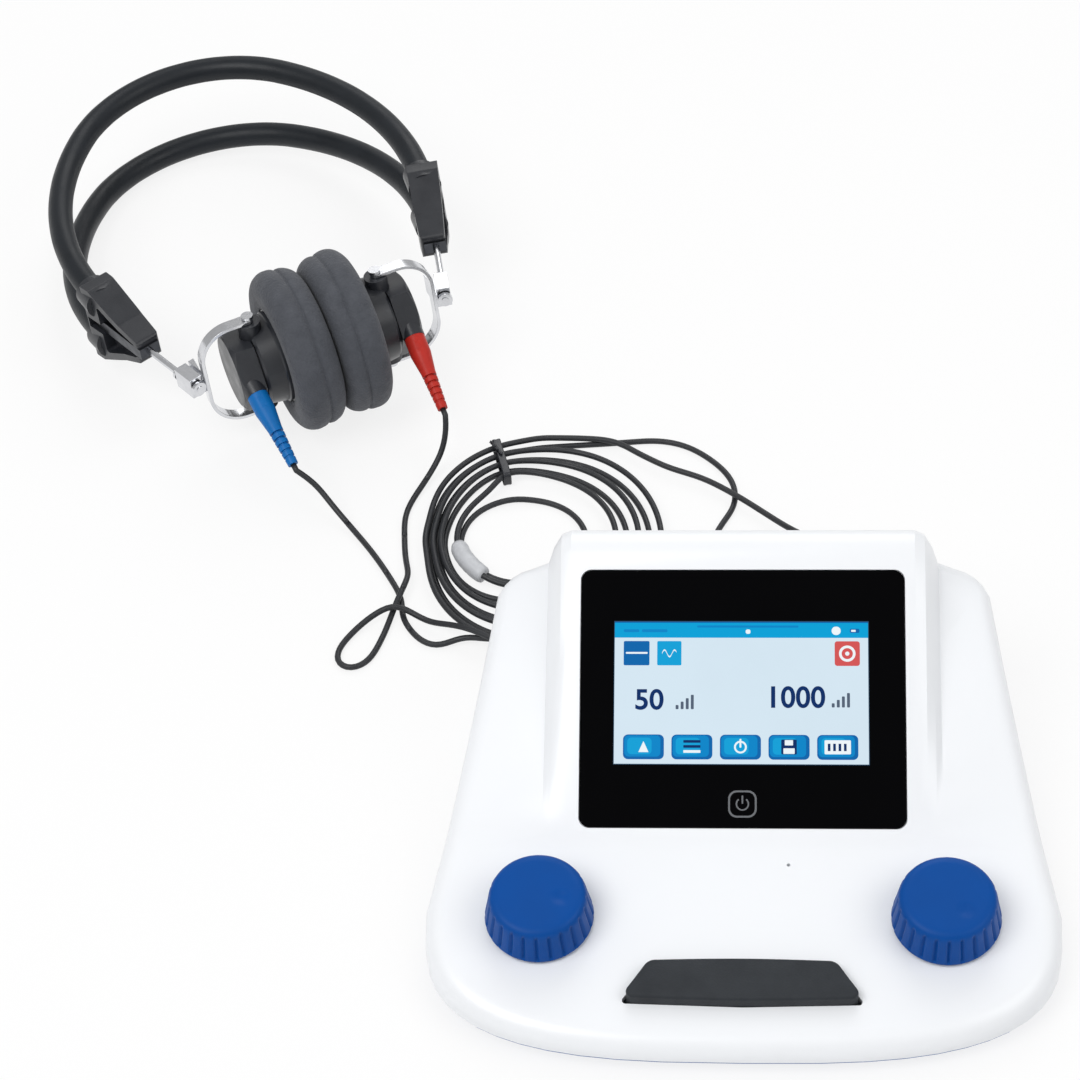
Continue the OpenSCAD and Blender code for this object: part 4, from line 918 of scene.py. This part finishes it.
class AUDIOMETER_OT_screen(bpy.types.Operator):
    """Make the lit screen behind the glass, with plain figures and generic keys"""

    bl_idname = "audiometer.screen"
    bl_label = "Lit screen"

    def execute(self, context):
        make_finishes()
        lights = {key: glow("screen_" + key, row[:3], row[3]) for key, row in LIGHTS.items()}
        self.picture(lights)
        self.touch_key(FINISHES["mark"])
        return {"FINISHED"}

    def picture(self, lights):
        """The lit picture: header, signs, figures and the row of touch keys."""
        white, ink = lights["white"], lights["ink"]
        x0, v0 = SCREEN_LEFT, SCREEN_FOOT
        x1, v1 = x0 + sizes().screen_w / MM, v0 + sizes().screen_h / MM
        s = ScreenSheet()
        s.box(x0 - 0.25, v0 - 0.3, x1 + 0.3, v1 + 0.3, 0.02, lights["rim"])
        s.box(x0, v0, x1, v1, 0.04, lights["pale"])
        s.box(x0, v1 - 6.1, x1, v1, 0.06, lights["head"])
        s.box(x0, v1 - 0.4, x1, v1, 0.07, lights["deep"])
        for a, b, c, d, level, key, r in PICTURE_BOXES:
            s.box(x0 + a, v1 - b, x0 + c, v1 - d, level, lights[key], r)
        wave = [(x0 + 17.8 + 0.27 * i, v1 - 12.1 + 1.3 * sin(i * 0.45)) for i in range(21)]
        s.ring([(x, v + 0.28) for x, v in wave] + wave[::-1],
               [(x, v - 0.28) for x, v in wave] + wave[::-1], 0.08, white)
        cx, cv = x0 + 87.2, v1 - 12.1
        s.ring(circle(cx, cv, 3.1, 12), circle(cx, cv, 2.1, 12), 0.08, white)
        s.shape(circle(cx, cv, 0.8, 12), 0.08, white)
        s.words("50", x0 + 7.9, v1 - 33.7, 10.6, 8.0, 0.08, ink, 0.02)
        s.words("1000", x0 + 58.7, v1 - 32.9, 20.2, 8.4, 0.08, ink, 0.02)
        for gx, gv in ((x0 + 23.0, v1 - 33.4), (x0 + 81.3, v1 - 32.6)):
            for i, tall in enumerate((1.6, 2.9, 4.2, 5.5)):
                s.box(gx + 1.9 * i, gv, gx + 1.9 * i + 1.1, gv + tall, 0.08, lights["grey"], 0.3)
        for i in range(5):
            a = x0 + 3.4 + 18.1 * i
            b = a + 15.3
            s.box(a, v0 + 1.7, b, v0 + 11.1, 0.06, lights["deep"], 1.9)
            s.box(a + 0.5, v0 + 2.7, b - 1.3, v0 + 10.7, 0.07, lights["mid"], 1.6)
            s.box(a + 1.6, v0 + 3.6, b - 4.6, v0 + 9.9, 0.08, lights["bright"], 1.5)
            self.key_sign(s, i, (a + b) / 2, v0 + 6.4, white, ink)
        piece(s.build("screen_picture"), ROOT)

    def touch_key(self, mark):
        """The touch key's print: a rounded square with a power sign."""
        up = TOUCH_KEY_UP
        p = ScreenSheet()
        p.ring(rounded_rect(-5.3, up - 5.1, 5.3, up + 5.1, 3.2, 8),
               rounded_rect(-4.6, up - 4.4, 4.6, up + 4.4, 2.6, 8), 0.03, mark)
        turns = [radians(128 + 284 * i / 40) for i in range(41)]
        outer, inner = ([(r * cos(a), up + r * sin(a)) for a in turns]
                        for r in (2.5, 1.95))
        for i in range(40):
            p.shape([outer[i], outer[i + 1], inner[i + 1], inner[i]], 0.03, mark)
        p.box(-0.3, up + 0.1, 0.3, up + 3.2, 0.03, mark, 0.2)
        piece(p.build("touch_key_print"), ROOT)

    def key_sign(self, s, i, x, v, white, ink):
        """A generic sign on each touch key."""
        if i == 0:
            s.shape([(x - 1.9, v - 2), (x + 1.9, v - 2), (x, v + 2.2)], 0.1, white)
        elif i == 1:
            for k in range(3):
                s.box(x - 3.2, v + 1.6 - 1.9 * k, x + 3.2, v + 2.6 - 1.9 * k, 0.1,
                      ink if k < 2 else white, 0.2)
        elif i == 2:
            s.ring(circle(x, v, 2.4, 15), circle(x, v, 1.7, 15), 0.1, white)
            s.box(x - 0.35, v - 0.2, x + 0.35, v + 3.1, 0.11, white, 0.2)
        elif i == 3:
            s.box(x - 2.9, v - 2.7, x + 2.9, v + 2.9, 0.1, ink, 0.4)
            s.box(x - 1.6, v + 0.7, x + 1.5, v + 2.7, 0.11, white, 0.2)
            s.box(x - 2.1, v - 2.5, x + 2.1, v - 0.4, 0.11, white, 0.2)
        else:
            s.box(x - 4.9, v - 2.6, x + 4.9, v + 2.7, 0.1, white, 0.4)
            for k in range(4):
                s.box(x - 3.7 + 2 * k, v - 1.4, x - 2.7 + 2 * k, v + 1.4, 0.11, ink, 0.1)


# ---- solids that keep their shape

def smooth_tree():
    """Geometry nodes that shade a solid smooth and keep its edges over a given angle."""
    tree = bpy.data.node_groups.get("smooth_shading")
    if tree:
        return tree
    tree, ins, outs = new_group(
        "smooth_shading", "GeometryNodeTree",
        (("Geometry", "Geometry", None), ("Angle", "Float", 0.6)), (("Geometry", "Geometry"),))
    tree.is_modifier = True
    merge = add_node(tree, "GeometryNodeMergeByDistance", {
        "Geometry": ins.outputs["Geometry"], "Distance": 2e-6})
    plain_normals = add_node(tree, "GeometryNodeRemoveAttribute", {
        "Geometry": merge.outputs["Geometry"], "Name": "custom_normal"})
    faces = add_node(tree, "GeometryNodeSetShadeSmooth", {
        "Geometry": plain_normals.outputs["Geometry"]})
    angle = add_node(tree, "GeometryNodeInputMeshEdgeAngle")
    flat = add_node(tree, "FunctionNodeCompare", {
        "A": angle.outputs["Unsigned Angle"], "B": ins.outputs["Angle"]}, operation="LESS_EQUAL")
    edges = add_node(tree, "GeometryNodeSetShadeSmooth", {
        "Geometry": faces.outputs["Geometry"], "Shade Smooth": flat.outputs["Result"]},
        domain="EDGE")
    feed(tree, outs, {"Geometry": edges.outputs["Geometry"]})
    return tree


def soften(obj, angle, bevel=0.0):
    """Shades a solid smooth under an angle in degrees, with a fine bevel on its edges."""
    mod = obj.modifiers.new("smooth_shading", "NODES")
    mod.node_group = smooth_tree()
    name = next(i.identifier for i in mod.node_group.interface.items_tree
                if i.name == "Angle" and i.in_out == "INPUT")
    mod[name] = radians(angle)
    if bevel:
        edge = obj.modifiers.new("fine_bevel", "BEVEL")
        edge.width, edge.segments, edge.limit_method = bevel * MM, 2, "ANGLE"
        edge.angle_limit = radians(38)
        edge.harden_normals = True


NODE_FINISH = {node: key for key, nodes in {
    "shell": "upper_case",
    "tray": "lower_case",
    "glass": "cover_glass",
    "board": "main_board",
    "rubber": "rubber_feet",
    "dark": "display_bracket key_switches phone_sockets response_socket power_inlet "
            "left_jack right_jack",
    "plated": "display_module left_encoder right_encoder left_shaft right_shaft encoder_nuts "
              "board_screws case_screws block_screws microphone usb_socket "
              "left_driver right_driver",
    "housing": "left_block right_block left_phone right_phone left_cap right_cap",
    "guide": "left_guide right_guide",
    "steel": "left_rod right_rod left_clamp right_clamp left_fork right_fork "
             "left_pivots right_pivots",
    "blue_plug": "left_plug",
    "red_plug": "right_plug",
}.items() for node in nodes.split()}
SMOOTH_ANGLE = {"upper_case": 24}
BEVELS = {"cap": 0.35, "block": 0.25, "clamp": 0.2, "fork": 0.15}


class AUDIOMETER_OT_solids(bpy.types.Operator):
    """Give every rigid solid of the frame its finish"""

    bl_idname = "audiometer.solids"
    bl_label = "Finishes of the solids"

    def execute(self, context):
        make_finishes()
        for name, key in NODE_FINISH.items():
            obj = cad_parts[name]
            if not obj.data.materials:
                obj.data.materials.append(FINISHES[key])
            for slot in obj.material_slots:
                slot.material = FINISHES[key]
            soften(obj, SMOOTH_ANGLE.get(name, 32), BEVELS.get(name.split("_")[-1], 0.0))
        return {"FINISHED"}


# ---- stage

CAMERA_AT = Vector((0.10151, -1.0344, 1.00367))
CAMERA_LENS = 115.9
FLOOR_R = 3.0
FLOOR_STEPS = 64
FLOOR_Z = -0.0001


def camera_matrix():
    """The photograph's viewpoint: 44 degrees down, turned 4.94 degrees, rolled 3.46 degrees."""
    down, turn, roll = radians(44.0), radians(-4.94), radians(-3.46)
    ahead = Vector((sin(turn) * cos(down), cos(turn) * cos(down),
                    -sin(down)))
    right = Vector((cos(turn), -sin(turn), 0))
    up = right.cross(ahead)
    r = right * cos(roll) + up * sin(roll)
    u = up * cos(roll) - right * sin(roll)
    m = Matrix.Identity(4)
    for i in range(3):
        m[i][0], m[i][1], m[i][2] = r[i], u[i], -ahead[i]
    m.translation = CAMERA_AT
    return m


class AUDIOMETER_OT_stage(bpy.types.Operator):
    """Set the camera, the pale floor and the soft lamps"""

    bl_idname = "audiometer.stage"
    bl_label = "Stage"

    def execute(self, context):
        scene = context.scene
        cam = bpy.data.cameras.new("view")
        cam.lens, cam.sensor_width, cam.sensor_fit = CAMERA_LENS, 36.0, "HORIZONTAL"
        cam.clip_start, cam.clip_end = 0.05, 20
        eye = bpy.data.objects.new("view", cam)
        eye.matrix_world = camera_matrix()
        scene.collection.objects.link(eye)
        scene.camera = eye
        scene.view_settings.view_transform = "Standard"

        verts = [(0, 0, FLOOR_Z)]
        for k in range(FLOOR_STEPS):
            a = 2 * pi * k / FLOOR_STEPS
            verts.append((FLOOR_R * cos(a), FLOOR_R * sin(a), FLOOR_Z))
        faces = [(0, 1 + k, 1 + (k + 1) % FLOOR_STEPS) for k in range(FLOOR_STEPS)]
        floor = make_object("floor", verts, faces, self.floor_finish(), scale=1)

        self.lamp("key_light", (-0.9, -0.9, 1.9), 1.5, 24)
        self.lamp("fill_light", (1.4, -0.6, 1.5), 1.4, 9)
        self.lamp("back_light", (0.2, 1.7, 1.6), 1.6, 12)
        self.world()
        return {"FINISHED"}

    def floor_finish(self):
        """Floor that is nearly white to the camera and still takes soft shadows."""
        mat = bpy.data.materials.new("pale_floor")
        mat.use_nodes = True
        tree = mat.node_tree
        shader = tree.nodes["Principled BSDF"]
        feed(tree, shader, {"Base Color": (0.86, 0.86, 0.86, 1), "Roughness": 0.7})
        white = add_node(tree, "ShaderNodeEmission", {"Color": (1, 1, 1, 1)})
        rays = add_node(tree, "ShaderNodeLightPath").outputs
        seen = add_node(tree, "ShaderNodeMath", {
            0: rays["Is Camera Ray"], 1: rays["Is Glossy Ray"]}, operation="MAXIMUM")
        through = add_node(tree, "ShaderNodeMath", {
            0: seen.outputs[0], 1: rays["Is Transmission Ray"]}, operation="MAXIMUM")
        part = add_node(tree, "ShaderNodeMath", {
            0: through.outputs[0], 1: 0.82}, operation="MULTIPLY")
        mix = add_node(tree, "ShaderNodeMixShader", {
            0: part.outputs[0], 1: shader.outputs[0], 2: white.outputs[0]})
        feed(tree, tree.nodes["Material Output"], {0: mix.outputs[0]})
        return mat

    def lamp(self, name, place, size, power):
        light = bpy.data.lights.new(name, "AREA")
        light.shape, light.size, light.energy = "DISK", size, power
        obj = bpy.data.objects.new(name, light)
        obj.location = place
        aim = Vector((0, 0, 0.03)) - Vector(place)
        obj.rotation_euler = aim.to_track_quat("-Z", "Y").to_euler()
        bpy.context.collection.objects.link(obj)

    def world(self):
        """White surroundings, at half strength where neither the camera nor glass sees them."""
        world = bpy.data.worlds.new("studio")
        bpy.context.scene.world = world
        world.use_nodes = True
        tree = world.node_tree
        rays = add_node(tree, "ShaderNodeLightPath").outputs
        seen = add_node(tree, "ShaderNodeMath", {
            0: rays["Is Camera Ray"], 1: rays["Is Transmission Ray"]}, operation="MAXIMUM")
        level = add_node(tree, "ShaderNodeMapRange", {
            "Value": seen.outputs[0], "To Min": 0.5, "To Max": 1.0})
        feed(tree, tree.nodes["Background"], {
            "Color": (1, 1, 1, 1), "Strength": level.outputs["Result"]})


# ---- panel

class AUDIOMETER_PT_pieces(bpy.types.Panel):
    """Lists the settings and the pieces"""

    bl_idname = "AUDIOMETER_PT_pieces"
    bl_label = "Audiometer"
    bl_space_type = "VIEW_3D"
    bl_region_type = "UI"
    bl_category = "Audiometer"

    def draw(self, context):
        layout = self.layout
        for group in (context.scene.audiometer_sizes, context.scene.audiometer_colours):
            box = layout.box()
            for name in group.__annotations__:
                box.prop(group, name)
        for step in STEPS:
            layout.operator(step)


CLASSES = (AudiometerSizes, AudiometerColours, AUDIOMETER_OT_stage, AUDIOMETER_OT_leads,
           AUDIOMETER_OT_headbands, AUDIOMETER_OT_cushions, AUDIOMETER_OT_bar_key,
           AUDIOMETER_OT_knobs, AUDIOMETER_OT_screen, AUDIOMETER_OT_solids, AUDIOMETER_PT_pieces)
STEPS = [cls.bl_idname for cls in CLASSES if issubclass(cls, bpy.types.Operator)]


def register():
    for cls in CLASSES:
        bpy.utils.register_class(cls)
    bpy.types.Scene.audiometer_sizes = bpy.props.PointerProperty(type=AudiometerSizes)
    bpy.types.Scene.audiometer_colours = bpy.props.PointerProperty(type=AudiometerColours)


def unregister():
    del bpy.types.Scene.audiometer_colours
    del bpy.types.Scene.audiometer_sizes
    for cls in reversed(CLASSES):
        bpy.utils.unregister_class(cls)


def main():
    register()
    for step in STEPS:
        group, name = step.split(".")
        getattr(getattr(bpy.ops, group), name)()


if __name__ == "__main__":
    main()
